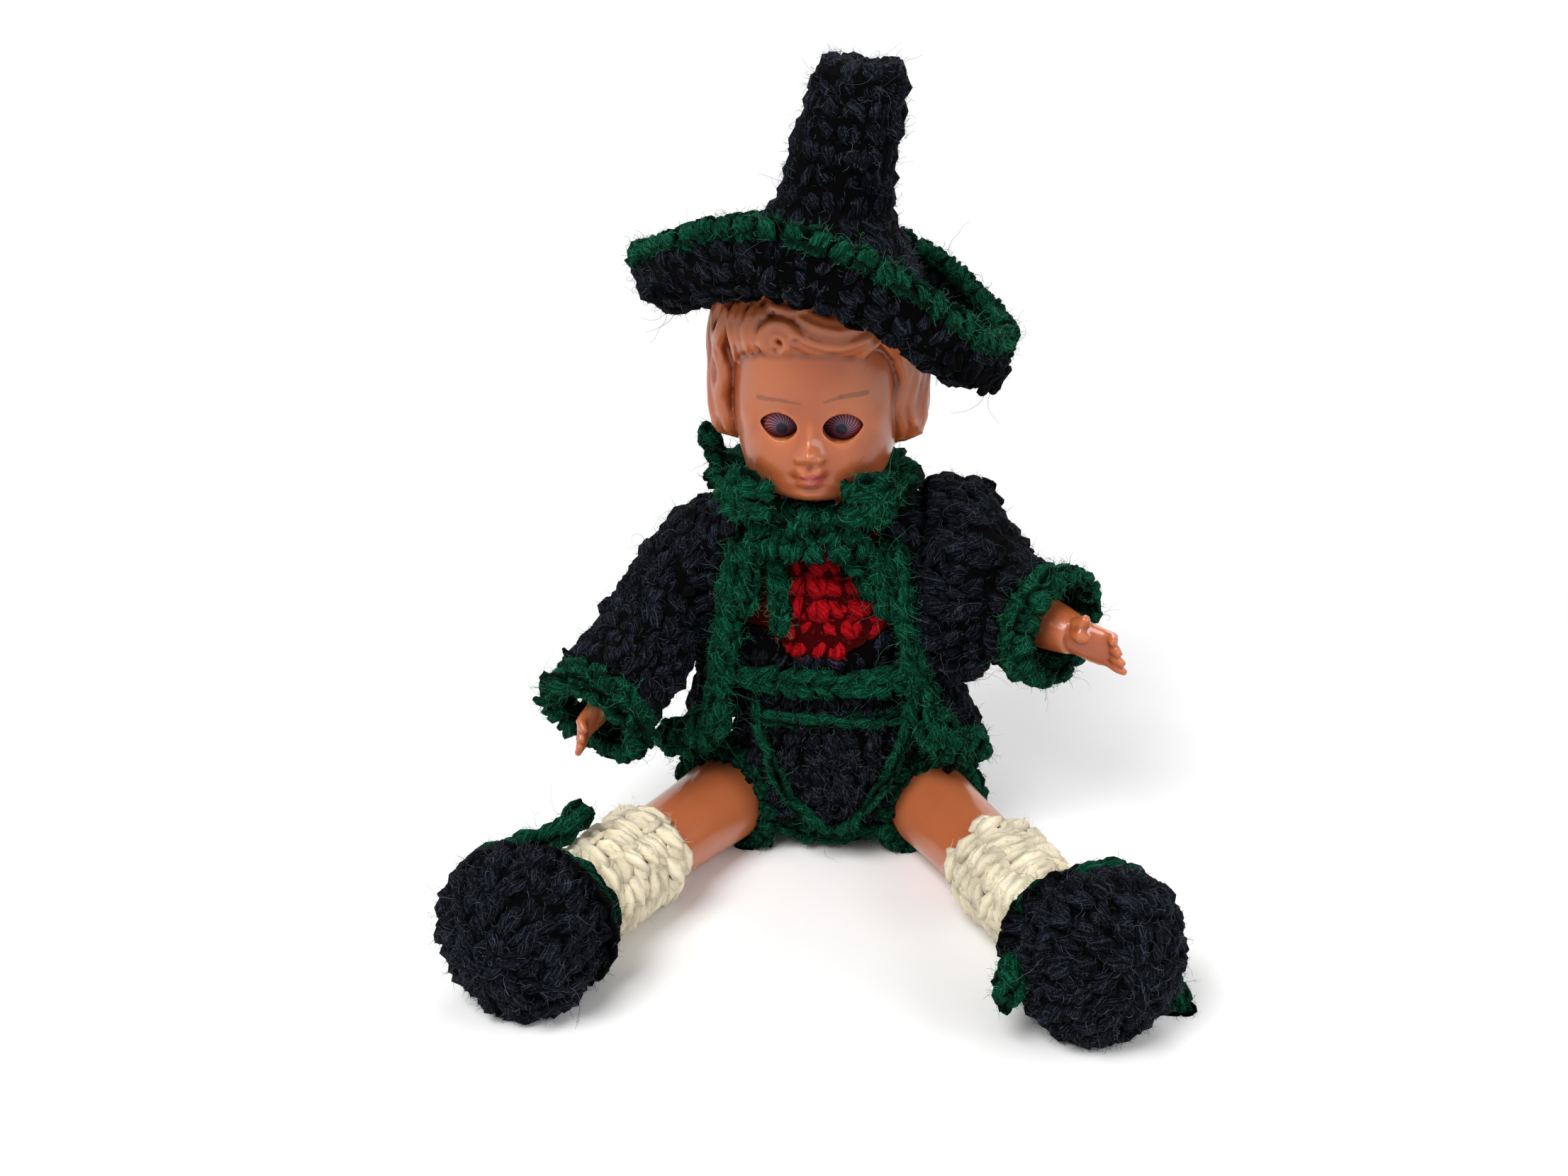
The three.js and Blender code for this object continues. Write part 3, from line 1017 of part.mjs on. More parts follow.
const thighRooms = [];
for (const [name, side] of [["left", 1], ["right", -1]]) {
  const leg = limb(`${name}_leg`, hipPlace(side));
  leg.quaternion.setFromAxisAngle(hipAxis(side), -side * sitTurn(side));
  leg.updateMatrixWorld(true);
  const toLeg = leg.matrixWorld.clone().invert();
  const floorCut = block(vec(-200, -200, -60), vec(200, 200, 0)).applyMatrix4(toLeg);
  buildLeg(leg, name, side, floorCut);
  const line = limbLine(hipAxis(side), vec(0, 0, -1), HIP_REACH);
  const above = line(2 * HIP_REACH).at.add(vec(0, 0, 24));
  const room = bar(above, line(KNEE_PLACE).at, HEM_RADIUS + 2 * CLEARANCE, 20);
  thighRooms.push(room.applyMatrix4(leg.matrixWorld));
}
buildJacket(doll, thighRooms);

export default doll;
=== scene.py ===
import math

import bmesh
import bpy
import numpy as np
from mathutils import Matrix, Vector
from mathutils.bvhtree import BVHTree


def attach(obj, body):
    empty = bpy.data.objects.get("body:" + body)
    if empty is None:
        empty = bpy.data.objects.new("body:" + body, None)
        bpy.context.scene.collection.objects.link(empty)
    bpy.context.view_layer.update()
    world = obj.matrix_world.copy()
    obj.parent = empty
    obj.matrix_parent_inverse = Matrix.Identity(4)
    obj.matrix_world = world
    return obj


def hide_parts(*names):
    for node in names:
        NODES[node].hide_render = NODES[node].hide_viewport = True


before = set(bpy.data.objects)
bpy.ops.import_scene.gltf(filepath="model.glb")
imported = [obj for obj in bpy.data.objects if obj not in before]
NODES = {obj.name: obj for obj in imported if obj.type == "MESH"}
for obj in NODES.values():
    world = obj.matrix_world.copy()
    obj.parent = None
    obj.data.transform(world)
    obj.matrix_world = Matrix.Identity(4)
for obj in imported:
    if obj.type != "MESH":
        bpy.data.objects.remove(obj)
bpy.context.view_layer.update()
MM = 0.001
SCENE = bpy.context.scene
STITCH_SEED, BARE_SEED = 11, 7
rng = np.random.default_rng(STITCH_SEED)

X, Y, Z = np.eye(3)


# Directions, and the places of the joints
def unit(v):
    v = np.asarray(v, float)
    return v / np.linalg.norm(v)


def turning(axis, degrees):
    """Rotation matrix about an axis."""
    x, y, z = unit(axis)
    c, s = math.cos(math.radians(degrees)), math.sin(math.radians(degrees))
    cross = np.array([[0, -z, y], [z, 0, -x], [-y, x, 0]])
    return np.eye(3) * c + s * cross + (1 - c) * np.outer([x, y, z], [x, y, z])


def around(angle):
    """Level direction at an angle, in radians."""
    return np.array((math.cos(angle), math.sin(angle), 0))


def aside(way):
    """Level direction a quarter turn on from another."""
    return np.array((-way[1], way[0], 0))


def circle(count):
    """Even angles of a full turn."""
    return np.arange(count) * math.tau / count


NECK_HEIGHT = 64
NECK_LEAN = 2.9
SHOULDER_HEIGHT = 50


def lean(height):
    """Sideways place of the body's middle, which leans to its right."""
    return -(NECK_LEAN / NECK_HEIGHT) * height


HEAD_PLACE = np.array((-NECK_LEAN, 0.0, 64.3))
HEAD_TURN = turning(Z, -2.5)
HAT_PLACE = HEAD_PLACE + (0.6, 0, 36)
HAT_TURN = turning(Y, 6)
HAT_AXIS = HAT_TURN @ Z
EYE_PLACE = np.array((0, -9.7, 19.9))
EYE_HALF_SPACING = 5.4
EYE_RADIUS, EYE_ROOM = 4.3, 0.36

LEG_SPLAY = {1: 24, -1: 27}
LEG_LIFT = 3.2


class Limb:
    """Centre line of an arm or a leg, from its joint outward."""

    def __init__(self, side, place, axis, direction, reach, turn):
        self.side, self.place, self.axis = side, np.array(place, float), unit(axis)
        self.direction, self.reach, self.turn = unit(direction), reach, turn

    def local(self, distance):
        knee = self.axis * self.reach
        share = distance / (2 * self.reach)
        if share >= 1:
            return knee + self.direction * (distance - self.reach), self.direction
        share = max(share, 0)
        end = knee + self.direction * self.reach
        at = 2 * share * (1 - share) * knee + share * share * end
        return at, unit((1 - share) * knee + share * (end - knee))

    def world(self, points):
        return np.asarray(points) @ self.turn.T + self.place

    def at(self, distance):
        return self.world(self.local(distance)[0])

    def way(self):
        return self.turn @ self.direction

    def ring(self, distance, across, thick, sides):
        at, way = self.local(distance)
        return oval(at, unit(np.cross(Y, way)), across, Y, thick, sides)


def make_arm(side, spread, lift):
    spread = math.radians(spread)
    direction = (side * math.cos(spread), 0, -math.sin(spread))
    place = (lean(SHOULDER_HEIGHT) + side * 19, 2, SHOULDER_HEIGHT)
    return Limb(side, place, (side, 0, 0), direction, 4.5, turning(X, -lift))


def make_leg(side):
    tilt = math.atan(math.sin(math.radians(LEG_SPLAY[side])))
    axis = (side * math.cos(tilt), 0, -math.sin(tilt))
    sit = math.degrees(math.acos(-math.tan(tilt) ** 2)) + LEG_LIFT
    return Limb(side, (side * 10.5, 0, 10), axis, (0, 0, -1), 5, turning(axis, -side * sit))


ARMS = {"left": make_arm(1, 45, 87), "right": make_arm(-1, 64, 58)}
LEGS = {"left": make_leg(1), "right": make_leg(-1)}


# Mesh helpers
def oval(centre, first, wide, second, tall, sides):
    """Ring of points round a centre, across two directions."""
    angles = circle(sides)
    return centre + np.outer(np.cos(angles) * wide, first) + np.outer(np.sin(angles) * tall, second)


def tube(points, radii, sides):
    """Round strand along points, as vertices, faces and corner UVs."""
    points = np.asarray(points, float)
    count = len(points)
    radii = np.broadcast_to(np.asarray(radii, float), (count,))
    ways = np.gradient(points, axis=0)
    ways /= np.linalg.norm(ways, axis=1)[:, None]
    side = np.cross(ways[0], Z if abs(ways[0][2]) < 0.9 else X)
    rings = []
    for p, way, r in zip(points, ways, radii):
        side = unit(side - way * side.dot(way))
        rings.append(oval(p, side, r, np.cross(way, side), r, sides))
    faces, uvs = [], []
    for i in range(count - 1):
        for j in range(sides):
            k = (j + 1) % sides
            faces.append((i * sides + j, i * sides + k, (i + 1) * sides + k, (i + 1) * sides + j))
            u0, u1 = i / (count - 1), (i + 1) / (count - 1)
            v0, v1 = j / sides, (j + 1) / sides
            uvs.append([(u0, v0), (u0, v1), (u1, v1), (u1, v0)])
    last = (count - 1) * sides
    faces += [tuple(range(sides))[::-1], tuple(range(last, last + sides))]
    uvs += [[(0, 0)] * sides, [(1, 0)] * sides]
    return np.concatenate(rings), faces, uvs


def skin(rings):
    """Closed surface over a row of rings."""
    sides = len(rings[0])
    verts = np.concatenate([*rings, [np.mean(rings[0], 0)], [np.mean(rings[-1], 0)]])
    first, end = len(rings) * sides, len(rings) * sides + 1
    last = (len(rings) - 1) * sides
    faces = []
    for j in range(sides):
        k = (j + 1) % sides
        for i in range(len(rings) - 1):
            faces.append((i * sides + j, i * sides + k, (i + 1) * sides + k, (i + 1) * sides + j))
        faces += [(first, k, j), (end, last + j, last + k)]
    return verts, faces, None


def ball(centre, radii, sides=20):
    angles = np.linspace(0, math.pi, sides // 2 + 1)[1:-1]
    turns = circle(sides)
    radii = np.broadcast_to(np.asarray(radii, float), (3,))
    rings = [np.stack([np.cos(turns) * math.sin(a), np.sin(turns) * math.sin(a),
                       np.full(sides, -math.cos(a))], 1) for a in angles]
    verts, faces, _ = skin(rings)
    verts[-2], verts[-1] = (0, 0, -1), (0, 0, 1)
    return verts * radii + np.asarray(centre, float), faces, None


def read_along(at, run, points):
    """Places on a path, at distances that are counted as in run."""
    return np.stack([np.interp(at, run, column) for column in np.asarray(points, float).T], -1)


def eased(path, count, passes):
    """Path read at an even count of places and smoothed between its ends."""
    points = read_along(np.linspace(0, len(path) - 1, count), np.arange(len(path)), path)
    for _ in range(passes):
        points[1:-1] = (points[:-2] + 2 * points[1:-1] + points[2:]) / 4
    return points


def placed(name, data):
    """New object in the scene."""
    obj = bpy.data.objects.new(name, data)
    SCENE.collection.objects.link(obj)
    return obj


def build(name, parts, move=None):
    """Mesh object, in metres, of several (vertices, faces, UVs) parts."""
    verts, faces, uvs, start = [], [], [], 0
    for v, f, uv in parts:
        verts.append(v)
        faces += [tuple(i + start for i in face) for face in f]
        uvs += uv if uv else [[(0, 0)] * len(face) for face in f]
        start += len(v)
    points = np.concatenate(verts)
    if move:
        points = move(points)
    mesh = bpy.data.meshes.new(name)
    mesh.from_pydata((points * MM).tolist(), [], faces)
    layer = mesh.uv_layers.new(name="strand")
    layer.data.foreach_set("uv", np.concatenate([np.array(c, float).ravel() for c in uvs]))
    mesh.shade_smooth()
    tidy = bmesh.new()
    tidy.from_mesh(mesh)
    bmesh.ops.recalc_face_normals(tidy, faces=tidy.faces)
    tidy.to_mesh(mesh)
    tidy.free()
    return placed(name, mesh)


def settled(obj, name):
    """Plain mesh object of what the modifiers of an object make. The object itself is removed."""
    view = bpy.context.evaluated_depsgraph_get()
    mesh = bpy.data.meshes.new_from_object(obj.evaluated_get(view), preserve_all_data_layers=True,
                                           depsgraph=view)
    mesh.name = name
    made = placed(name, mesh)
    bpy.data.objects.remove(obj)
    made.name = name
    return made


def moulded(obj, name, voxel, smoothing, cutters=()):
    """One moulded skin around overlapping parts, with holes cut afterwards."""
    remesh = obj.modifiers.new("moulded", "REMESH")
    remesh.mode, remesh.voxel_size = "VOXEL", voxel * MM
    smooth = obj.modifiers.new("smooth", "SMOOTH")
    smooth.iterations, smooth.factor = smoothing, 0.5
    for cutter in cutters:
        hole = obj.modifiers.new("hole", "BOOLEAN")
        hole.operation, hole.solver, hole.object = "DIFFERENCE", "EXACT", cutter
    made = settled(obj, name)
    for cutter in cutters:
        bpy.data.objects.remove(cutter)
    made.data.shade_smooth()
    return made


def coords(mesh):
    flat = np.empty(len(mesh.vertices) * 3)
    mesh.vertices.foreach_get("co", flat)
    return flat.reshape(-1, 3)


def set_coords(mesh, points):
    mesh.vertices.foreach_set("co", points.ravel())
    mesh.update()


def point_values(mesh, name, kind, values):
    layer = mesh.attributes.new(name, kind, "POINT")
    label = "vector" if kind == "FLOAT_VECTOR" else "value"
    layer.data.foreach_set(label, np.asarray(values, float).ravel())


def normals_of(mesh):
    flat = np.empty(len(mesh.vertices) * 3)
    mesh.vertices.foreach_get("normal", flat)
    return flat.reshape(-1, 3)


LEVEL_PASSES, DEPTH_PASSES = 12, 2


def note_grooves(obj, spread):
    """Keeps how deep each point lies below its neighbours, for the shade in the grooves."""
    mesh = obj.data
    points = coords(mesh) / MM
    edges = np.empty(len(mesh.edges) * 2, int)
    mesh.edges.foreach_get("vertices", edges)
    edges = edges.reshape(-1, 2)
    count = np.bincount(edges.ravel(), minlength=len(points))[:, None]

    def mean(values):
        total = np.zeros_like(values)
        np.add.at(total, edges[:, 0], values[edges[:, 1]])
        np.add.at(total, edges[:, 1], values[edges[:, 0]])
        return total / np.maximum(count, 1)

    level = points.copy()
    for _ in range(LEVEL_PASSES):
        level = mean(level)
    depth = ((level - points) * normals_of(mesh)).sum(1, keepdims=True)
    for _ in range(DEPTH_PASSES):
        depth = mean(depth)
    point_values(mesh, "groove", "FLOAT", np.clip(depth / spread, -1, 1))


def dress(obj, body, slot, *nodes):
    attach(obj, body)
    if nodes:
        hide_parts(*nodes)


# Node helpers
def feed(tree, node, inputs):
    """Sets the inputs of a node to values, or links sockets to them."""
    for key, value in inputs.items():
        if isinstance(value, bpy.types.NodeSocket):
            tree.links.new(value, node.inputs[key])
        else:
            node.inputs[key].default_value = value
    return node


def add(tree, kind, inputs=None, **settings):
    node = tree.nodes.new(kind)
    for key, value in settings.items():
        setattr(node, key, value)
    return feed(tree, node, inputs or {})


def linear(code):
    """Colour of a hex code in linear light."""
    parts = [int(code[i:i + 2], 16) / 255 for i in (1, 3, 5)]
    return tuple(c / 12.92 if c <= 0.04045 else ((c + 0.055) / 1.055) ** 2.4 for c in parts) + (1.0,)


def ramp(tree, value, stops):
    node = add(tree, "ShaderNodeValToRGB", {0: value})
    while len(node.color_ramp.elements) < len(stops):
        node.color_ramp.elements.new(0.5)
    for element, (place, colour) in zip(node.color_ramp.elements, stops):
        element.position = place
        element.color = colour if isinstance(colour, tuple) else (colour, colour, colour, 1)
    return node.outputs[0]


def mix(tree, share, a, b, blend="MIX"):
    node = add(tree, "ShaderNodeMix", {0: share, 6: a, 7: b}, data_type="RGBA", blend_type=blend)
    return node.outputs[2]


def maths(tree, operation, a, b=0.0, clamp=False):
    return add(tree, "ShaderNodeMath", {0: a, 1: b}, operation=operation, use_clamp=clamp).outputs[0]


def plus(tree, a, b):
    return maths(tree, "ADD", a, b)


def times(tree, a, b):
    return maths(tree, "MULTIPLY", a, b)


def vectors(tree, operation, *values):
    node = add(tree, "ShaderNodeVectorMath", dict(enumerate(values)), operation=operation)
    return node.outputs["Value" if operation in ("DOT_PRODUCT", "DISTANCE", "LENGTH") else "Vector"]


def noise(tree, place, scale, detail, **more):
    inputs = {"Vector": place, "Scale": scale, "Detail": detail} | more
    return add(tree, "ShaderNodeTexNoise", inputs).outputs[0]


def object_place(tree):
    return add(tree, "ShaderNodeTexCoord").outputs["Object"]


def attribute(tree, name):
    return add(tree, "ShaderNodeAttribute", attribute_name=name).outputs[2]


def fade(tree, value, low, high):
    """0 to 1 as value goes from low to high."""
    inputs = {0: value, 1: low, 2: high, 3: 0.0, 4: 1.0}
    return add(tree, "ShaderNodeMapRange", inputs, interpolation_type="SMOOTHSTEP").outputs[0]


def new_group(name, inputs, outputs):
    """Group of shader nodes. Its sockets are given as names with their kinds."""
    group = bpy.data.node_groups.new(name, "ShaderNodeTree")
    for labels, way in ((inputs, "INPUT"), (outputs, "OUTPUT")):
        for label, kind in labels.items():
            group.interface.new_socket(label, in_out=way, socket_type=f"NodeSocket{kind}")
    return group, group.nodes.new("NodeGroupInput").outputs, group.nodes.new("NodeGroupOutput")


def new_material(name):
    material = bpy.data.materials.new(name)
    material.use_nodes = True
    tree = material.node_tree
    tree.nodes.clear()
    shader = add(tree, "ShaderNodeBsdfPrincipled")
    add(tree, "ShaderNodeOutputMaterial", {0: shader.outputs[0]}).is_active_output = True
    return material, tree, shader


# Finishes
def yarn_fibres():
    """Fine fibres that run along a strand of yarn, with the strand's own tint."""
    group, source, out = new_group("yarn_fibres", {"Fineness": "Float", "Twist": "Float"},
                                   {"Fibre": "Float", "Tint": "Float", "Height": "Float"})
    uv = add(group, "ShaderNodeUVMap", uv_map="strand").outputs[0]
    along, across, _ = add(group, "ShaderNodeSeparateXYZ", {0: uv}).outputs
    angle = times(group, plus(group, across, times(group, along, source["Twist"])), math.tau)
    tint = attribute(group, "tint")
    wound = add(group, "ShaderNodeCombineXYZ", {
        0: times(group, maths(group, "COSINE", angle), source["Fineness"]),
        1: times(group, maths(group, "SINE", angle), source["Fineness"]),
        2: plus(group, times(group, along, 1.6), times(group, tint, 40.0))}).outputs[0]
    fibre = noise(group, wound, 1.0, 3.0, Roughness=0.65)
    strands = noise(group, wound, 0.35, 1.0)
    place = object_place(group)
    cloudy = noise(group, place, 90.0, 2.0)
    speck = noise(group, place, 2600.0, 1.0)
    feed(group, out, {"Fibre": plus(group, times(group, fibre, 0.75), times(group, speck, 0.25)),
                      "Tint": plus(group, times(group, tint, 0.5), times(group, cloudy, 0.5)),
                      "Height": plus(group, times(group, fibre, 0.6), strands)})
    return group


def yarn(name, dark, middle, pale, loose, sheen, gap_shade):
    """Wool yarn. Its fibre tones run from dark to pale, partly their own tone and partly painted shade and
    painted highlight; painted shade darkens the low parts of the stitches and the gaps between them; loose
    fibres are paler, a painted highlight.
    """
    material, tree, shader = new_material(name)
    fibres = add(tree, "ShaderNodeGroup", node_tree=YARN_FIBRES)
    fibres = feed(tree, fibres, {"Fineness": 5.0, "Twist": 0.45}).outputs
    # Fibre tones, dark to pale: partly the fibres' own tone, partly painted shade between the fibres and
    # painted highlight on them.
    tones = [(0.34, linear(dark)), (0.5, linear(middle)), (0.66, linear(pale))]
    colour = ramp(tree, fibres["Fibre"], tones)
    shade = ramp(tree, fibres["Tint"], [(0.25, 0.74), (0.75, 1.0)])
    colour = mix(tree, 1.0, colour, shade, "MULTIPLY")
    # Painted shade: the low parts of each stitch, and the lining, are darkened down to the given gap
    # darkness.
    depth = ramp(tree, attribute(tree, "shade"), [(0.0, gap_shade), (0.55, 0.7), (1.0, 1.0)])
    colour = mix(tree, 1.0, colour, depth, "MULTIPLY")
    # Painted highlight: loose fibres take the paler loose colour.
    colour = mix(tree, times(tree, attribute(tree, "loose"), 0.85), colour, linear(loose))
    relief = add(tree, "ShaderNodeBump", {"Strength": 0.55, "Distance": 0.0004, "Height": fibres["Height"]})
    feed(tree, shader, {"Base Color": colour, "Normal": relief.outputs[0], "Roughness": 0.9,
                        "Specular IOR Level": 0.05, "Sheen Weight": sheen, "Sheen Roughness": 0.5,
                        "Sheen Tint": linear(pale)})
    return material


def flesh_shade():
    """Celluloid flesh: two tones in soft clouds, with painted light on the ridges and painted shade in the
    grooves.
    """
    group, source, out = new_group("flesh_shade", {"Flesh": "Color", "Deep": "Color", "Light": "Color"},
                                   {"Colour": "Color", "Gloss": "Float", "Height": "Float"})
    place = object_place(group)
    clouds = noise(group, place, 55.0, 3.0)
    groove = attribute(group, "groove")
    body = mix(group, fade(group, clouds, 0.35, 0.7), source["Flesh"], source["Light"])
    # Painted light on the ridges, then painted shade in the grooves, both from the groove mark.
    ridges_lit = mix(group, fade(group, groove, -0.05, -0.5), body, source["Light"])
    deep = mix(group, fade(group, groove, 0.03, 0.65), ridges_lit, source["Deep"])
    feed(group, out, {"Colour": deep, "Gloss": plus(group, 0.2, times(group, clouds, 0.22)),
                      "Height": noise(group, place, 900.0, 2.0)})
    return group


def painted_stroke():
    """Brush stroke between two points seen from the front, thinner toward its end."""
    group, source, out = new_group("painted_stroke", {"From": "Vector", "To": "Vector", "Start": "Float",
                                                      "End": "Float"}, {"Mask": "Float"})
    place = object_place(group)
    flat = vectors(group, "MULTIPLY", place, (1, 0, 1))
    run = vectors(group, "SUBTRACT", source["To"], source["From"])
    away = vectors(group, "SUBTRACT", flat, source["From"])
    share = maths(group, "DIVIDE", vectors(group, "DOT_PRODUCT", away, run),
                  vectors(group, "DOT_PRODUCT", run, run), clamp=True)
    foot = add(group, "ShaderNodeVectorMath", {0: run, "Scale": share}, operation="SCALE").outputs[0]
    width = {0: share, 1: 0.0, 2: 1.0, 3: source["Start"], 4: source["End"]}
    width = add(group, "ShaderNodeMapRange", width).outputs[0]
    ragged = noise(group, place, 1800.0, 1.0)
    edge = times(group, width, plus(group, 0.65, times(group, ragged, 0.7)))
    rest = maths(group, "DIVIDE", vectors(group, "DISTANCE", away, foot), edge)
    depth = add(group, "ShaderNodeSeparateXYZ", {0: place}).outputs[1]
    feed(group, out, {0: times(group, fade(group, rest, 1.1, 0.75), fade(group, depth, -0.006, -0.009))})
    return group


YARN_FIBRES = yarn_fibres()
FLESH_SHADE = flesh_shade()
PAINTED_STROKE = painted_stroke()

# Dark, middle and pale fibre tones, the pale end partly a painted highlight; loose-fibre colour, a painted
# highlight; sheen; darkness of the painted shade in the gaps.
YARNS = {name: yarn(name, *look) for name, look in {
    "black_yarn": ("#020203", "#06070c", "#383e4c", "#747a88", 0.02, 0.05),
    "green_yarn": ("#010c08", "#043022", "#187250", "#45a87c", 0.02, 0.1),
    "red_yarn": ("#330103", "#a00712", "#d01d26", "#d8484c", 0.0, 0.14),
    "cream_yarn": ("#f6e4bc", "#fff2d2", "#fffaea", "#fffaf0", 0.35, 0.95)}.items()}
FLESH = "#a0502b"


def celluloid(name, strokes=()):
    material, tree, shader = new_material(name)
    shade = add(tree, "ShaderNodeGroup", node_tree=FLESH_SHADE)
    # Deep is the colour of the painted shade in the grooves; Light serves both the paler clouds of the flesh
    # and the painted light on the ridges.
    tones = {"Flesh": linear(FLESH), "Deep": linear("#7e3512"), "Light": linear("#b5653d")}
    shade = feed(tree, shade, tones).outputs
    colour = shade["Colour"]
    for start, end, first, last, paint in strokes:
        places = [on_head(np.array([[x, 0, z]]))[0] * MM for x, z in (start, end)]
        places = [(place[0], 0, place[2]) for place in places]
        stroke = add(tree, "ShaderNodeGroup", node_tree=PAINTED_STROKE)
        feed(tree, stroke, {"From": places[0], "To": places[1], "Start": first * MM, "End": last * MM})
        colour = mix(tree, times(tree, stroke.outputs[0], PAINT_STRENGTH), colour, linear(paint))
    relief = add(tree, "ShaderNodeBump", {"Strength": 0.08, "Distance": 0.0002, "Height": shade["Height"]})
    feed(tree, shader, {"Base Color": colour, "Roughness": shade["Gloss"], "Normal": relief.outputs[0],
                        "Subsurface Weight": 0.22, "Subsurface Radius": (1.0, 0.35, 0.15),
                        "Subsurface Scale": 0.002, "Specular IOR Level": 0.4, "Coat Weight": 0.35,
                        "Coat Roughness": 0.14})
    return material


def on_head(points):
    return np.asarray(points) @ HEAD_TURN.T + HEAD_PLACE


PAINT_STRENGTH = 0.75
BROW_PAINT, LIP_PAINT = "#7f4528", "#9c3c3a"
# Strokes: from and to (across, up) on the head, width at each end, colour
BROWS = [((-9.5, 24.6), (-6.6, 24.7), 0.48, 0.38, BROW_PAINT),
         ((-5.9, 24.75), (-2.4, 24.4), 0.4, 0.22, BROW_PAINT),
         ((8.6, 25.9), (4.4, 25.7), 0.52, 0.48, BROW_PAINT),
         ((4.4, 25.7), (1.6, 24.8), 0.46, 0.22, BROW_PAINT)]
LIPS = [((-1.9, 11.8), (0, 12.0), 0.42, 0.7, LIP_PAINT),
        ((1.9, 11.8), (0, 12.0), 0.42, 0.7, LIP_PAINT),
        ((-1.15, 10.8), (1.15, 10.8), 0.85, 0.85, "#a84a44")]
CELLULOID = celluloid("celluloid")
FACE = celluloid("painted_face", BROWS + LIPS)
STREAKS = 24.0


def eye_finish(name, centre, gaze):
    """Sleep eye: dark pupil, curved pale streaks on red brown, paler on the upper half as painted light from
    above, flesh lid above.
    """
    material, tree, shader = new_material(name)
    ahead = unit(gaze)
    wide = unit(np.cross(ahead, Z))
    local = vectors(tree, "SUBTRACT", object_place(tree), tuple(centre * MM))

    def measure(axis):
        return vectors(tree, "DOT_PRODUCT", local, tuple(axis / EYE_RADIUS / MM))

    x, y, depth = measure(wide), measure(np.cross(wide, ahead)), measure(ahead)
    reach = maths(tree, "SQRT", plus(tree, times(tree, x, x), times(tree, y, y)))
    swirl = plus(tree, maths(tree, "ARCTAN2", y, x), times(tree, reach, 1.1))
    streak = maths(tree, "SINE", times(tree, swirl, STREAKS))
    streak = times(tree, fade(tree, streak, 0.4, 0.95), fade(tree, reach, 0.82, 0.6))
    # Painted light: the streaks grow paler toward the top of the eye, as if lit from above.
    lit = times(tree, streak, plus(tree, 0.25, times(tree, fade(tree, y, -0.5, 0.3), 0.6)))
    colour = ramp(tree, reach, [(0.2, linear("#38151a")), (0.5, linear("#662018")), (0.68, linear("#802612")),
                                (0.82, linear("#24090b"))])
    colour = mix(tree, lit, colour, linear("#7c7aa0"))
    colour = mix(tree, fade(tree, reach, 0.25, 0.2), colour, linear("#0c1024"))
    colour = mix(tree, fade(tree, measure(Z), 0.72, 0.75), colour, linear(FLESH))
    colour = mix(tree, fade(tree, depth, 0.1, 0.0), colour, linear("#d9c9b8"))
    feed(tree, shader, {"Base Color": colour, "Roughness": 0.4, "Specular IOR Level": 0.3,
                        "Coat Weight": 0.12, "Coat Roughness": 0.05})
    return material


def plain_finish(name, colour, spotted, roughness, metallic=0.0):
    """Inner fittings: one colour with faint wear."""
    material, tree, shader = new_material(name)
    wear = noise(tree, object_place(tree), 700.0, 3.0)
    feed(tree, shader, {
        "Base Color": ramp(tree, wear, [(0.35, linear(spotted)), (0.65, linear(colour))]),
        "Roughness": ramp(tree, wear, [(0.3, roughness), (0.7, min(1.0, roughness + 0.15))]),
        "Metallic": metallic})
    return material


# Crochet stitches and fibres
STITCH_STEPS, STITCH_SIDES = 5, 5
# Heights in a stitch, in its unit size, over which its painted shade fades out toward the top.
SHADE_LOW, SHADE_SPAN = 0.06, 0.46


def stitch_shape(name, strands):
    """Stitch of unit width made of short swollen strands, with its outer side marked for loose fibres and its
    low parts marked for painted shade.
    """
    parts = []
    for path, radii in strands:
        steps = np.linspace(0, len(path) - 1, STITCH_STEPS)
        swell = np.interp(steps, np.linspace(0, len(path) - 1, len(radii)), radii)
        parts.append(tube(eased(path, STITCH_STEPS, 1) / MM, swell / MM, STITCH_SIDES))
    obj = build(name, parts)
    mesh = obj.data
    point_values(mesh, "outer", "FLOAT", np.clip(normals_of(mesh)[:, 2] * 2, 0, 1))
    # Painted shade mark: 0 low in the stitch, where the yarn is darkest, up to 1 at its top.
    point_values(mesh, "shade", "FLOAT", np.clip((coords(mesh)[:, 2] + SHADE_LOW) / SHADE_SPAN, 0, 1))
    return obj


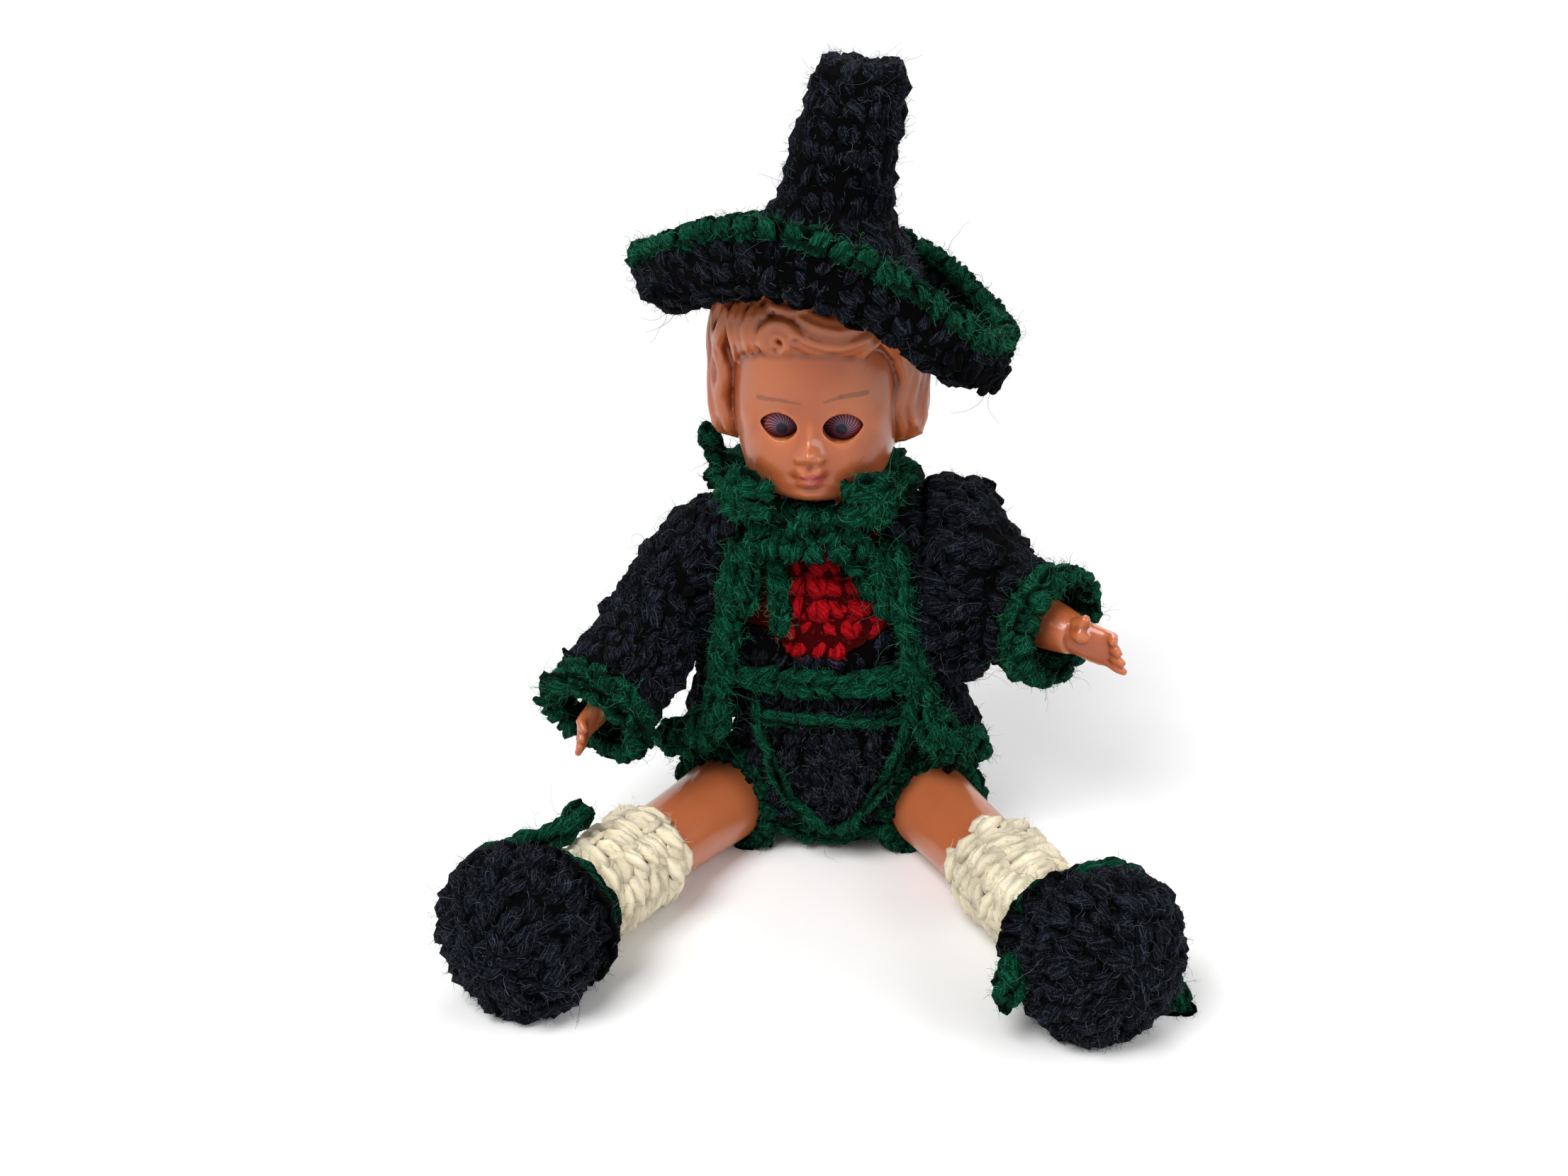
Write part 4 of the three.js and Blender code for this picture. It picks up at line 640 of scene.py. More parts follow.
STITCHES = [stitch_shape(name, strands) for name, strands in {
    "stitch_puff": [
        ([(0.08, -0.56, -0.12), (-0.16, -0.24, 0.24), (-0.22, 0.16, 0.26), (-0.1, 0.5, -0.1)],
         (0.14, 0.31, 0.32, 0.15)),
        ([(0.02, -0.54, -0.12), (0.24, -0.18, 0.18), (0.26, 0.2, 0.18), (0.14, 0.48, -0.12)],
         (0.13, 0.29, 0.28, 0.13)),
        ([(-0.5, 0.38, -0.08), (-0.08, 0.46, 0.08), (0.46, 0.36, -0.08)], (0.13, 0.19, 0.12))],
    "stitch_right": [
        ([(-0.3, -0.52, -0.12), (-0.18, -0.16, 0.25), (0.06, 0.2, 0.27), (0.2, 0.52, -0.12)],
         (0.15, 0.32, 0.32, 0.15)),
        ([(0.14, -0.52, -0.14), (0.28, -0.2, 0.15), (0.36, 0.14, 0.12), (0.36, 0.42, -0.12)],
         (0.13, 0.26, 0.25, 0.12)),
        ([(-0.44, 0.26, -0.08), (-0.28, 0.44, 0.08), (0.08, 0.5, -0.08)], (0.13, 0.2, 0.12))],
    "stitch_left": [
        ([(0.3, -0.52, -0.12), (0.16, -0.14, 0.24), (-0.04, 0.2, 0.27), (-0.22, 0.5, -0.12)],
         (0.15, 0.31, 0.33, 0.15)),
        ([(-0.16, -0.54, -0.12), (-0.3, -0.18, 0.2), (-0.36, 0.16, 0.15), (-0.32, 0.42, -0.12)],
         (0.13, 0.28, 0.25, 0.12)),
        ([(0.44, 0.3, -0.08), (0.24, 0.44, 0.1), (-0.08, 0.48, -0.08)], (0.13, 0.2, 0.12))],
}.items()]


def fibre_shape(name, bends, thick, steps, passes=0):
    points = eased(bends, steps, passes)
    return build(name, [tube(points / MM, thick * np.linspace(1, 0.35, steps) / MM, 3)])


FIBRES = [
    fibre_shape("fibre_arc", [(0, 0, 0), (0.05, 0, 0.3), (0.22, 0.05, 0.62), (0.55, 0.1, 0.82)], 0.026, 4),
    fibre_shape("fibre_wave", [(0, 0, 0), (0.16, 0, 0.25), (-0.04, 0.1, 0.55), (0.14, 0.2, 0.95)], 0.026, 4),
    fibre_shape("fibre_hook", [(0, 0, 0), (0.1, 0, 0.35), (0.38, 0.06, 0.5), (0.5, 0.25, 0.28),
                               (0.3, 0.35, 0.1)], 0.024, 5),
]
STRAY_THICKNESS = 0.0055
STRAYS = [fibre_shape(name, bends, STRAY_THICKNESS, steps, 2) for name, steps, bends in (
    ("stray_curl", 16, [(0, 0, 0), (0.1, 0.05, 0.12), (0.3, 0.02, 0.2), (0.42, 0.14, 0.24),
                        (0.32, 0.26, 0.2), (0.24, 0.16, 0.22), (0.4, 0.05, 0.3), (0.62, 0.02, 0.34)]),
    ("stray_arch", 12, [(0, 0, 0), (0.08, 0, 0.16), (0.3, 0.06, 0.24), (0.6, 0.04, 0.2),
                        (0.86, -0.06, 0.06)]),
    ("stray_wave", 12, [(0, 0, 0), (0.06, 0.04, 0.2), (0.24, 0.14, 0.26), (0.4, 0.02, 0.3),
                        (0.6, 0.1, 0.42), (0.72, 0.02, 0.5)]))]


STITCH_SHAKE, LUMP_HEIGHT = 0.34, 1.1


def crochet_tree():
    """Stitches on guide points over a lining, with loose fibres on their outer side."""
    tree = bpy.data.node_groups.new("crochet", "GeometryNodeTree")
    tree.interface.new_socket("Geometry", in_out="OUTPUT", socket_type="NodeSocketGeometry")
    kinds = {"Geometry": "Geometry", "First stitch": "Object", "Second stitch": "Object",
             "Third stitch": "Object", "Lining": "Object", "Unevenness": "Float", "Fibres per area": "Float",
             "Fibre length": "Float", "Strays per area": "Float", "Stray length": "Float", "Seed": "Int",
             "Yarn": "Material"}
    for label, kind in kinds.items():
        tree.interface.new_socket(label, in_out="INPUT", socket_type=f"NodeSocket{kind}")
    source = tree.nodes.new("NodeGroupInput").outputs

    def made(kind, inputs, **settings):
        return add(tree, kind, inputs, **settings).outputs[0]

    def value(name, kind):
        return made("GeometryNodeInputNamedAttribute", {0: name}, data_type=kind)

    def seeded(seed):
        return plus(tree, source["Seed"], float(seed))

    def chance(low, high, seed):
        inputs = {2: low, 3: high, "Seed": seeded(seed)}
        return add(tree, "FunctionNodeRandomValue", inputs, data_type="FLOAT").outputs[1]

    def pick(count, seed):
        inputs = {4: 0, 5: count - 1, "Seed": seeded(seed)}
        return add(tree, "FunctionNodeRandomValue", inputs, data_type="INT").outputs[2]

    def three(low, high, seed):
        return made("ShaderNodeCombineXYZ", {i: chance(low, high, seed + i) for i in range(3)})

    def shape(obj):
        return add(tree, "GeometryNodeObjectInfo", {"Object": obj}).outputs["Geometry"]

    def joined(parts):
        node = add(tree, "GeometryNodeJoinGeometry")
        for part in parts:
            tree.links.new(part, node.inputs[0])
        return node.outputs[0]

    def choice(objects):
        """Several shapes as instances to pick from."""
        return joined([made("GeometryNodeGeometryToInstance", {0: shape(obj)}) for obj in objects])

    def scaled(vector, amount):
        return made("ShaderNodeVectorMath", {0: vector, "Scale": amount}, operation="SCALE")

    def turned(rotation, by):
        return made("FunctionNodeRotateRotation", {0: rotation, 1: by}, rotation_space="LOCAL")

    def moved(geometry, offset):
        return made("GeometryNodeSetPosition", {"Geometry": geometry, "Offset": offset})

    def laid(points, shapes, chosen, rotation, size, mark, seed):
        """One of several shapes on each point, as real geometry that carries a random mark."""
        placed_shapes = made("GeometryNodeInstanceOnPoints", {
            "Points": points, "Instance": choice(shapes), "Pick Instance": True, "Instance Index": chosen,
            "Rotation": rotation, "Scale": size})
        name, low, high = mark
        marked = made("GeometryNodeStoreNamedAttribute",
                      {"Geometry": placed_shapes, "Name": name, "Value": chance(low, high, seed)},
                      data_type="FLOAT", domain="INSTANCE")
        return made("GeometryNodeRealizeInstances", {0: marked})

    facing = made("FunctionNodeAxesToRotation",
                  {0: value("outward", "FLOAT_VECTOR"), 1: value("along", "FLOAT_VECTOR")},
                  primary_axis="Z", secondary_axis="X")
    uneven = three(times(tree, source["Unevenness"], -1.0), source["Unevenness"], 1)
    size = vectors(tree, "MULTIPLY", value("size", "FLOAT_VECTOR"), three(0.86, 1.16, 5))
    shaken = moved(source["Geometry"], three(-STITCH_SHAKE * MM, STITCH_SHAKE * MM, 30))
    patterns = [source["First stitch"], source["Second stitch"], source["Third stitch"]]
    stitches = laid(shaken, patterns, pick(3, 8), turned(facing, uneven), size, ("tint", 0.0, 1.0), 9)
    place = made("GeometryNodeInputPosition", {})
    lumps = add(tree, "ShaderNodeTexNoise", {"Vector": place, "Scale": 520.0, "Detail": 1.0}).outputs["Color"]
    centred = vectors(tree, "SUBTRACT", lumps, (0.5, 0.5, 0.5))
    stitches = moved(stitches, scaled(centred, LUMP_HEIGHT * MM))
    outside = made("FunctionNodeCompare", {0: value("outer", "FLOAT"), 1: 0.35}, data_type="FLOAT",
                   operation="GREATER_THAN")

    def hairs(density, length, shapes, low, high, seed):
        """Loose fibres that stand off the outer side of the stitches."""
        inputs = {"Mesh": stitches, "Selection": outside, "Density": density, "Seed": seeded(seed)}
        spots = add(tree, "GeometryNodeDistributePointsOnFaces", inputs, distribute_method="RANDOM").outputs
        raised = scaled(spots["Normal"], chance(low, high, seed + 1))
        aim = vectors(tree, "ADD", three(-1.0, 1.0, seed + 2), raised)
        aimed = made("FunctionNodeAlignRotationToVector", {"Vector": aim}, axis="Z")
        roll = made("ShaderNodeCombineXYZ", {2: chance(0.0, math.tau, seed + 5)})
        long = times(tree, length, chance(0.45, 1.35, seed + 6))
        return laid(spots[0], shapes, pick(len(shapes), seed + 7), turned(aimed, roll), long,
                    ("loose", 0.3, 1.0), seed + 8)

    whole = joined([hairs(source["Fibres per area"], source["Fibre length"], FIBRES, 0.2, 1.1, 20),
                    hairs(source["Strays per area"], source["Stray length"], STRAYS, 0.3, 1.4, 60),
                    stitches, shape(source["Lining"])])
    finished = made("GeometryNodeSetMaterial", {"Geometry": whole, "Material": source["Yarn"]})
    add(tree, "NodeGroupOutput", {0: finished})
    return tree


CROCHET = crochet_tree()
CROCHET_INPUTS = {item.name: item.identifier for item in CROCHET.interface.items_tree
                  if item.in_out == "INPUT"}


def lining(nodes, shrink):
    """Copy of the CAD cloth, drawn in on both sides, that closes the gaps between stitches. It carries no
    shade mark, so the yarn gives it the full painted shade of the gaps.
    """
    shape = bmesh.new()
    for node in nodes:
        shape.from_mesh(NODES[node].data)
    bmesh.ops.remove_doubles(shape, verts=shape.verts, dist=1e-6)
    shape.normal_update()
    drawn = [v.co - v.normal * shrink * MM for v in shape.verts]
    for v, place in zip(shape.verts, drawn):
        v.co = place
    mesh = bpy.data.meshes.new("lining")
    shape.to_mesh(mesh)
    shape.free()
    return placed("lining", mesh)


EMPTY = build("no_lining", [tube([(0, 0, 20), (0, 0, 20.01)], 0.001, 3)])
FLOOR_GAP = 0.02
FIBRES_PER_FUZZ, STRAYS_PER_AREA, STRAY_LENGTH = 0.76e6, 1e6, 6.5
NAME_SEEDS = 97


def crochet(stem, body, slot, rows, fuzz, length=1.5, nodes=None, shrink=0.8, lined=True, unevenness=0.22,
            strays=0.01, reshape=None):
    """Crocheted piece in place of CAD nodes, by default the one with the name stem.

    Rows are (place, along, outward, size) stitches, in millimetres."""
    name = f"{stem}_crochet"
    nodes = [stem] if nodes is None else nodes
    places, along, outward, sizes = (np.array(column, float) for column in zip(*rows))
    guide = bpy.data.meshes.new(name)
    guide.from_pydata((places * MM).tolist(), [], [])
    for label, column in (("along", along), ("outward", outward), ("size", sizes * MM)):
        point_values(guide, label, "FLOAT_VECTOR", column)
    obj = placed(name, guide)
    cloth = lining(nodes, shrink) if lined else EMPTY
    modifier = obj.modifiers.new("crochet", "NODES")
    modifier.node_group = CROCHET
    values = {"First stitch": STITCHES[0], "Second stitch": STITCHES[1], "Third stitch": STITCHES[2],
              "Lining": cloth, "Unevenness": unevenness, "Fibres per area": fuzz * FIBRES_PER_FUZZ,
              "Fibre length": length * MM, "Strays per area": strays * STRAYS_PER_AREA,
              "Stray length": STRAY_LENGTH * MM, "Seed": len(name) + sum(map(ord, name)) % NAME_SEEDS,
              "Yarn": YARNS[slot]}
    for label, value in values.items():
        modifier[CROCHET_INPUTS[label]] = value
    made = settled(obj, name)
    if lined:
        bpy.data.objects.remove(cloth)
    points = coords(made.data) / MM
    if reshape:
        points = reshape(points)
    points[:, 2] = np.maximum(points[:, 2], FLOOR_GAP)
    set_coords(made.data, points * MM)
    dress(made, body, slot, *nodes)


# Rows of stitches on the CAD cloth
def cloth_tree(*nodes):
    """Surface of CAD nodes in millimetres, for finding where the stitches lie."""
    verts, faces = [], []
    for node in nodes:
        mesh = NODES[node].data
        start = len(verts)
        verts += [v.co / MM for v in mesh.vertices]
        faces += [[i + start for i in p.vertices] for p in mesh.polygons]
    return BVHTree.FromPolygons(verts, faces)


def meet(tree, origin, way, reach=200.0):
    hit, normal, _, _ = tree.ray_cast(Vector(origin), Vector(way), reach)
    if hit is None:
        return None, None
    normal = np.array(normal)
    return np.array(hit), normal if normal.dot(way) < 0 else -normal


def frame_across(way):
    first = unit(np.cross(way, X if abs(way[0]) < 0.8 else Y))
    return first, np.cross(way, first)


STITCH_HEIGHT, STITCH_DEPTH = 4.3, 3.7
SINK = 1.25
PROBE_ANGLES = np.arange(0, 6.28, 0.35)
JITTER = 0.06


def rounds(tree, centre_at, way, heights, pitch, tall=STITCH_HEIGHT, polar=None, reach=80.0, sink=SINK,
           rise=None):
    """Rows round an axis or a bent line. polar gives a cone angle for each row, to close over a dome."""
    rows = []
    for k, height in enumerate(heights):
        line = unit(way(height) if callable(way) else way)
        first, second = frame_across(line)
        centre = np.asarray(centre_at(height), float)
        cone = math.radians(90 if polar is None else polar[k])

        def cast(angle):
            flat = math.cos(angle) * first + math.sin(angle) * second
            out = math.cos(cone) * line + math.sin(cone) * flat
            start = centre + (rise(flat, height) * line if rise else 0)
            hit, normal = meet(tree, start + out * reach, -out, reach - 1.5)
            return hit, normal, np.cross(line, flat), start

        found = [np.linalg.norm(np.cross(hit - start, line))
                 for hit, _, _, start in map(cast, PROBE_ANGLES) if hit is not None]
        if not found:
            continue
        girth = math.tau * np.mean(found)
        count = max(1 if cone < 0.1 else 3, round(girth / pitch))
        width = girth / count if count > 2 else pitch
        for i in range(count):
            angle = (i + 0.5 * (k % 2) + rng.uniform(-JITTER, JITTER)) * math.tau / count
            hit, normal, along, _ = cast(angle)
            if hit is None:
                continue
            side = -1 if k % 2 else 1
            rows.append((hit - normal * sink, along * side, normal, (width, tall, STITCH_DEPTH)))
    return rows


BARE_SPACING, BARE_SIZE = 3.5, (4.2, 4.4, 3.5)
TRIES_PER_AREA = 0.4
CLEAR_AHEAD, CLEAR_BESIDE = 30, 5


def bare_spots(nodes, rows, inner, beside=()):
    """More stitches, on the outer cloth that the rows leave bare."""
    own, shells = cloth_tree(*nodes), cloth_tree(*inner)
    others = cloth_tree(*beside) if beside else None
    taken = np.array([np.asarray(place) + np.asarray(out) * SINK for place, _, out, _ in rows])
    draw = np.random.default_rng(BARE_SEED)
    found = []
    for node in nodes:
        mesh = NODES[node].data
        mesh.calc_loop_triangles()
        a, b, c = (coords(mesh) / MM)[np.array([t.vertices for t in mesh.loop_triangles])].swapaxes(0, 1)
        normals = np.cross(b - a, c - a)
        areas = np.linalg.norm(normals, axis=1)
        pick = np.repeat(np.arange(len(a)), np.ceil(areas * TRIES_PER_AREA).astype(int))
        u, v = draw.random((2, len(pick), 1))
        u, v = np.where(u + v > 1, 1 - u, u), np.where(u + v > 1, 1 - v, v)
        spots = a[pick] + u * (b - a)[pick] + v * (c - a)[pick]
        for spot, way in zip(spots, (normals / np.maximum(areas, 1e-9)[:, None])[pick]):
            if spot[2] < 2 or np.linalg.norm(taken - spot, axis=1).min() < BARE_SPACING:
                continue
            start = spot + way * 0.4
            if any(meet(tree, start, way, CLEAR_AHEAD)[0] is not None for tree in (own, shells)):
                continue
            if others and meet(others, start, way, CLEAR_BESIDE)[0] is not None:
                continue
            along = unit(np.cross(Z if abs(way[2]) < 0.9 else X, way))
            found.append((spot - way * SINK, along, way, BARE_SIZE))
            taken = np.append(taken, [spot], 0)
    return found


def measured(points, pitch, closed=False):
    """Points at an even pitch along a path."""
    points = np.asarray(points, float)
    if closed:
        points = np.concatenate([points, points[:1]])
    steps = np.linalg.norm(np.diff(points, axis=0), axis=1)
    run = np.concatenate([[0], np.cumsum(steps)])
    count = max(2, round(run[-1] / pitch))
    at = np.linspace(0, run[-1], count + 1)
    at = at[:-1] if closed else at
    return read_along(at, run, points)


def cord_rows(path, radius, pitch, rolls, size=(3.0, 4.4, 2.8), closed=False, lengthwise=True, spin=0.35,
              start=0.0, sink=0.6):
    """Stitches round a thick cord or an edging."""
    points = measured(path, pitch, closed)
    wrap = np.concatenate([points[-1:], points, points[:1]]) if closed else points
    ways = np.gradient(wrap, axis=0)
    ways = ways[1:-1] if closed else ways
    side = frame_across(unit(ways[0]))[0]
    rows = []
    for i, (p, way) in enumerate(zip(points, ways)):
        way = unit(way)
        side = unit(side - way * side.dot(way))
        other = np.cross(way, side)
        for r in range(rolls):
            angle = start + math.tau * r / rolls + spin * i
            out = math.cos(angle) * side + math.sin(angle) * other
            along = np.cross(way, out) if lengthwise else way
            rows.append((p + out * (radius - sink), along, out, size))
    return rows


def rim_rows(path, radius, pitch, rolls, size, start=0.0):
    """Stitches laid across a closed edge, side by side."""
    return cord_rows(path, radius, pitch, rolls, size, closed=True, lengthwise=False, spin=0.0, start=start)


def front_path(node, places, radius):
    """Centre line of a strip of cloth that runs over the front, from its places seen from the front."""
    tree = cloth_tree(node)
    found = []
    for x, z in places:
        hit, _ = meet(tree, (x, -120, z), Y)
        if hit is not None:
            found.append(hit + Y * radius)
    return found


def vertical(height):
    return lean(min(height, NECK_HEIGHT)), 0.0, height


# Head
# Height, then half width, depth to the front and depth to the back
FACE_ROWS = np.array([
    (0.0, 7.0, 7.0, 7.0), (4.6, 7.2, 7.4, 7.0), (5.8, 8.8, 12.2, 7.4), (7.2, 10.9, 14.9, 9.0),
    (9.4, 12.5, 16.2, 11.4), (12.0, 13.4, 16.5, 13.6), (16.0, 14.2, 16.6, 15.8), (20.0, 14.6, 16.4, 17.2),
    (24.0, 14.7, 16.7, 17.8), (28.0, 14.6, 17.0, 18.0), (33.0, 14.4, 16.6, 18.0), (38.0, 14.2, 15.4, 17.0),
    (42.0, 14.4, 13.6, 15.4), (46.5, 10.2, 10.0, 10.8), (49.0, 6.0, 6.0, 6.0), (50.2, 2.0, 2.0, 2.0)])
HAIR_ROWS = np.array([
    (13.6, 13.6, 1.0, 13.6), (14.6, 16.6, 3.6, 16.2), (17.0, 17.6, 6.0, 17.4), (22.4, 18.0, 8.6, 18.0),
    (28.0, 18.1, 11.0, 18.4), (31.5, 18.1, 13.2, 18.4), (34.0, 17.8, 16.4, 18.2), (37.0, 17.2, 16.6, 17.6),
    (41.0, 15.6, 15.4, 16.4), (46.0, 11.5, 11.8, 12.0), (50.0, 4.0, 4.0, 4.0)])
SQUARENESS = 0.9
HEAD_WALL = 2.2


def smooth_rows(rows, heights):
    """Rows read at more heights, along smooth curves."""
    steep = np.gradient(rows[:, 1:], rows[:, 0], axis=0)
    out = []
    for h in heights:
        i = int(np.clip(np.searchsorted(rows[:, 0], h) - 1, 0, len(rows) - 2))
        a, b = rows[i], rows[i + 1]
        span = b[0] - a[0]
        t = (h - a[0]) / span
        out.append((2 * t**3 - 3 * t**2 + 1) * a[1:] + (t**3 - 2 * t**2 + t) * span * steep[i]
                   + (3 * t**2 - 2 * t**3) * b[1:] + (t**3 - t**2) * span * steep[i + 1])
    return np.array(out)


def oval_point(section, angle, height):
    half, front, back = section
    c, s = np.cos(angle), np.sin(angle)
    depth = np.where(s < 0, front, back)
    return np.stack([half * np.sign(c) * np.abs(c)**SQUARENESS, depth * np.sign(s) * np.abs(s)**SQUARENESS,
                     np.full_like(c, height)], -1)


def head_skin(rows, sides, step):
    heights = np.arange(rows[0, 0], rows[-1, 0] + step / 2, step)
    angles = circle(sides)
    return skin([oval_point(section, angles, h) for section, h in zip(smooth_rows(rows, heights), heights)])


def bump(p, x, z, wide, tall):
    return np.exp(-((p[:, 0] - x) / wide)**2 - ((p[:, 2] - z) / tall)**2)


# Forward, across, up, width and height of each form of the face. Those off the middle are on both sides
FEATURES = [
    (2.9, 0, 15.7, 1.6, 1.6), (1.0, 0, 18.6, 1.2, 2.6), (1.3, 1.8, 14.9, 0.75, 0.75),
    (0.9, 11.2, 19.9, 1.8, 2.4), (1.2, 1.35, 13.05, 1.15, 0.75), (-0.3, 0, 13.2, 0.4, 0.9),
    (0.95, 0.9, 12.0, 1.0, 0.55), (1.25, 0, 10.7, 1.5, 0.7), (1.0, 0, 11.8, 2.8, 2.4),
    (-0.9, 0, 11.38, 2.0, 0.2), (-0.45, 2.7, 11.4, 0.7, 0.7), (-0.6, 0, 9.4, 2.0, 0.6),
    (0.8, 0, 7.6, 3.0, 1.8), (0.55, 7.4, 13.6, 3.4, 3.2), (-0.5, 5.2, 20.6, 3.6, 3.0),
    (0.35, 0, 27.5, 9.0, 4.0)]


def shape_face(points):
    """Nose, lips, cheeks, chin and eye hollows on the plain head."""
    front = np.clip(-points[:, 1] / 6 - 0.6, 0, 1)
    for forward, across, z, wide, tall in FEATURES:
        for x in (across, -across) if across else (0,):
            points[:, 1] -= front * forward * bump(points, x, z, wide, tall)


def hair_point(x, z, lift):
    """Place on the front of the hair, seen from the front."""
    half, front, _ = smooth_rows(HAIR_ROWS, [z])[0]
    share = min(abs(x) / (half + lift), 0.995)
    return x, -(front + lift) * (1 - share**(2 / SQUARENESS))**(SQUARENESS / 2), z


HAIR_TOP, CROWN_TOP = 40, 49.5
LOCK_STEP = 9.2
SWAY, WAVES = 2.8, 0.6
WHORL = 34


def swing(height, low, phase):
    """Swing of a wavy lock to one side or the other, from -1 to 1."""
    return math.sin((height - low) * WAVES + phase)


def side_lock(turn, top, low, phase, lift):
    """Wavy lock that hangs down the side or the back of the head."""
    heights = np.linspace(top, low, 26)
    points = []
    for h, section in zip(heights, smooth_rows(HAIR_ROWS, heights)):
        wave = math.radians(SWAY) * swing(h, low, phase)
        points.append(oval_point(section + lift, np.array([math.radians(turn) + wave]), h)[0])
    return np.array(points)


def crown_lock(turn, low, lift):
    """Lock that runs from the whorl on top of the head down to the height low."""
    share = np.linspace(1, 0, 16)
    heights = low + (CROWN_TOP - low) * share
    places = []
    for s, h, section in zip(share, heights, smooth_rows(HAIR_ROWS, heights)):
        angle = np.array([math.radians(turn + WHORL * s * s)])
        places.append(oval_point(section + lift - (lift + 0.75) * s, angle, h)[0])
    return tube(places, 1.1 - 0.7 * share, 8)


def front_lock(places, lift):
    return np.array([hair_point(x, z, lift) for x, z in eased(places, 22, 3)])


def spiral(x, z, radius, turns, start):
    t = np.linspace(0, 1, 30)
    angle = start + t * turns * math.tau
    r = radius * (1 - 0.72 * t)
    return [(x + a, z + b) for a, b in zip(r * np.cos(angle), r * np.sin(angle))]


# Locks between two edges (across, up): their count, lift, added lift of every second one, thickness
FRINGES = [
    ([(-1.8, 40.4), (1.4, 38.6), (5.0, 37.9), (8.6, 38.8), (11.2, 40.4)],
     [(-3.4, 33.6), (0.2, 32.6), (4.2, 31.9), (8.0, 32.6), (11.8, 35.4)], 6, 0.3, 0.35, 1.0),
    ([(-8.2, 40.0), (-9.6, 36.8), (-9.2, 33.6), (-8.6, 31.6)],
     [(-12.6, 40.0), (-13.8, 36.4), (-13.0, 33.0), (-13.4, 29.2)], 4, 0.1, 0.3, 0.95),
    ([(9.8, 37.6), (12.0, 35.0), (13.2, 32.6), (13.8, 30.4)],
     [(12.4, 39.0), (14.2, 36.4), (14.9, 33.4), (15.8, 30.2)], 3, 0.1, 0.3, 0.95),
    ([(-6.6, 40.4), (-3.0, 39.6), (0.4, 40.6)], [(-6.6, 40.4), (-3.0, 39.6), (0.4, 40.6)], 1, 0.3, 0.0, 1.0)]


def hair_locks():
    locks = []
    for i, turn in enumerate(np.arange(-38, 219, LOCK_STEP)):
        low = 13.9 + 1.1 * math.sin(turn * 0.35)
        phase = 0.9 * math.sin(i * 0.45)
        lift = 0.1 + 0.2 * math.sin(i * 2.6)
        path = side_lock(turn, HAIR_TOP, low, phase, lift)
        swell = np.interp(np.linspace(0, 1, len(path)), (0, 0.5, 0.85, 1), (1.1, 1.4, 1.6, 0.8))
        locks.append(tube(path, swell, 10))
        locks.append(tube(side_lock(turn + 2.2, 39, low + 2.2, phase + 0.1, 0.95), 0.5, 8))
        locks.append(crown_lock(turn + SWAY * swing(HAIR_TOP, low, phase), HAIR_TOP, lift))
    locks += [crown_lock(turn, 38.2, -0.3) for turn in np.arange(227, 317, LOCK_STEP)]
    for top, low, count, lift, added, thick in FRINGES:
        top, low = np.array(top), np.array(low)
        for i, share in enumerate(np.linspace(0, 1, count)):
            path = front_lock(top + (low - top) * share, lift + added * (i % 2))
            swell = np.interp(np.linspace(0, 1, len(path)), (0, 0.2, 0.8, 1), (0.6, 1, 1, 0.5))
            locks.append(tube(path, thick * swell, 10))
    for z, radius, turns, lift, thick, thin, sides in ((34.9, 3.3, 1.35, 0.6, 1.25, 0.7, 10),
                                                       (34.7, 1.6, 0.8, 0.3, 0.8, 0.5, 8)):
        curl = np.array([hair_point(*place, lift) for place in spiral(-5.4, z, radius, turns, 0.3)])
        locks.append(tube(curl, np.linspace(thick, thin, len(curl)), sides))
    return locks


def almond(side):
    """Outline of an eye opening, pointed at the outer corner."""
    angles = circle(40)
    wide, tall = (3.25, 2.42) if side < 0 else (3.35, 2.55)
    c, s = np.cos(angles), np.sin(angles)
    pinch = np.where(c * side > 0, np.clip(1 - 0.34 * np.abs(c)**2.2, 0, 1), 1 - 0.1 * np.abs(c)**3)
    rise = tall * s * pinch + 0.25 * np.clip(c * side, 0, 1)**2
    return np.stack([wide * c, np.zeros(len(c)), rise], 1)


def eye_centre(side):
    return EYE_PLACE + (side * EYE_HALF_SPACING, 0, 0)


def eye_hole(side):
    """Opening in the face with the hollow that the eye turns in."""
    centre, outline = eye_centre(side), almond(side)
    opening = skin([centre + outline + (0, d, 0) for d in np.linspace(-14, -1, 6)])
    return opening, ball(centre, EYE_RADIUS + EYE_ROOM, 36)


def build_head():
    face = head_skin(FACE_ROWS, 120, 0.5)
    shape_face(face[0])
    cap = HAIR_ROWS.copy()
    cap[:, 1:] = np.maximum(cap[:, 1:] - (1.0, 0.2, 1.0), 1)
    solid = build("head", [face, head_skin(cap, 72, 0.8), *hair_locks()], on_head)
    inner = FACE_ROWS[4:-2].copy()
    inner[:, 1:] -= HEAD_WALL
    holes = [head_skin(inner, 32, 2.0), tube([(0, 0, 1.5), (0, 0, 14)], 5.8, 20),
             tube([(0, 0, -2), (0, 0, 3)], 2.2, 20), *eye_hole(1), *eye_hole(-1)]
    cutters = [build("hole", [hole], on_head) for hole in holes]
    head = moulded(solid, "head", voxel=0.36, smoothing=2, cutters=cutters)
    note_grooves(head, spread=0.28)
    head.data.materials.clear()
    head.data.materials.append(FACE)
    dress(head, "head", "celluloid", "head_shell")
    gazes = {1: (-0.06, -1, -0.14), -1: (0.1, -1, -0.18)}
    for name, side in (("left_eye", 1), ("right_eye", -1)):
        centre = on_head(np.array([eye_centre(side)]))[0]
        eye = build(name + "_ball", [ball(centre, EYE_RADIUS, 48)])
        gaze = HEAD_TURN @ np.array(gazes[side])
        eye.data.materials.append(eye_finish(name + "_paint", centre, gaze))
        dress(eye, "eyes", "eye", name)


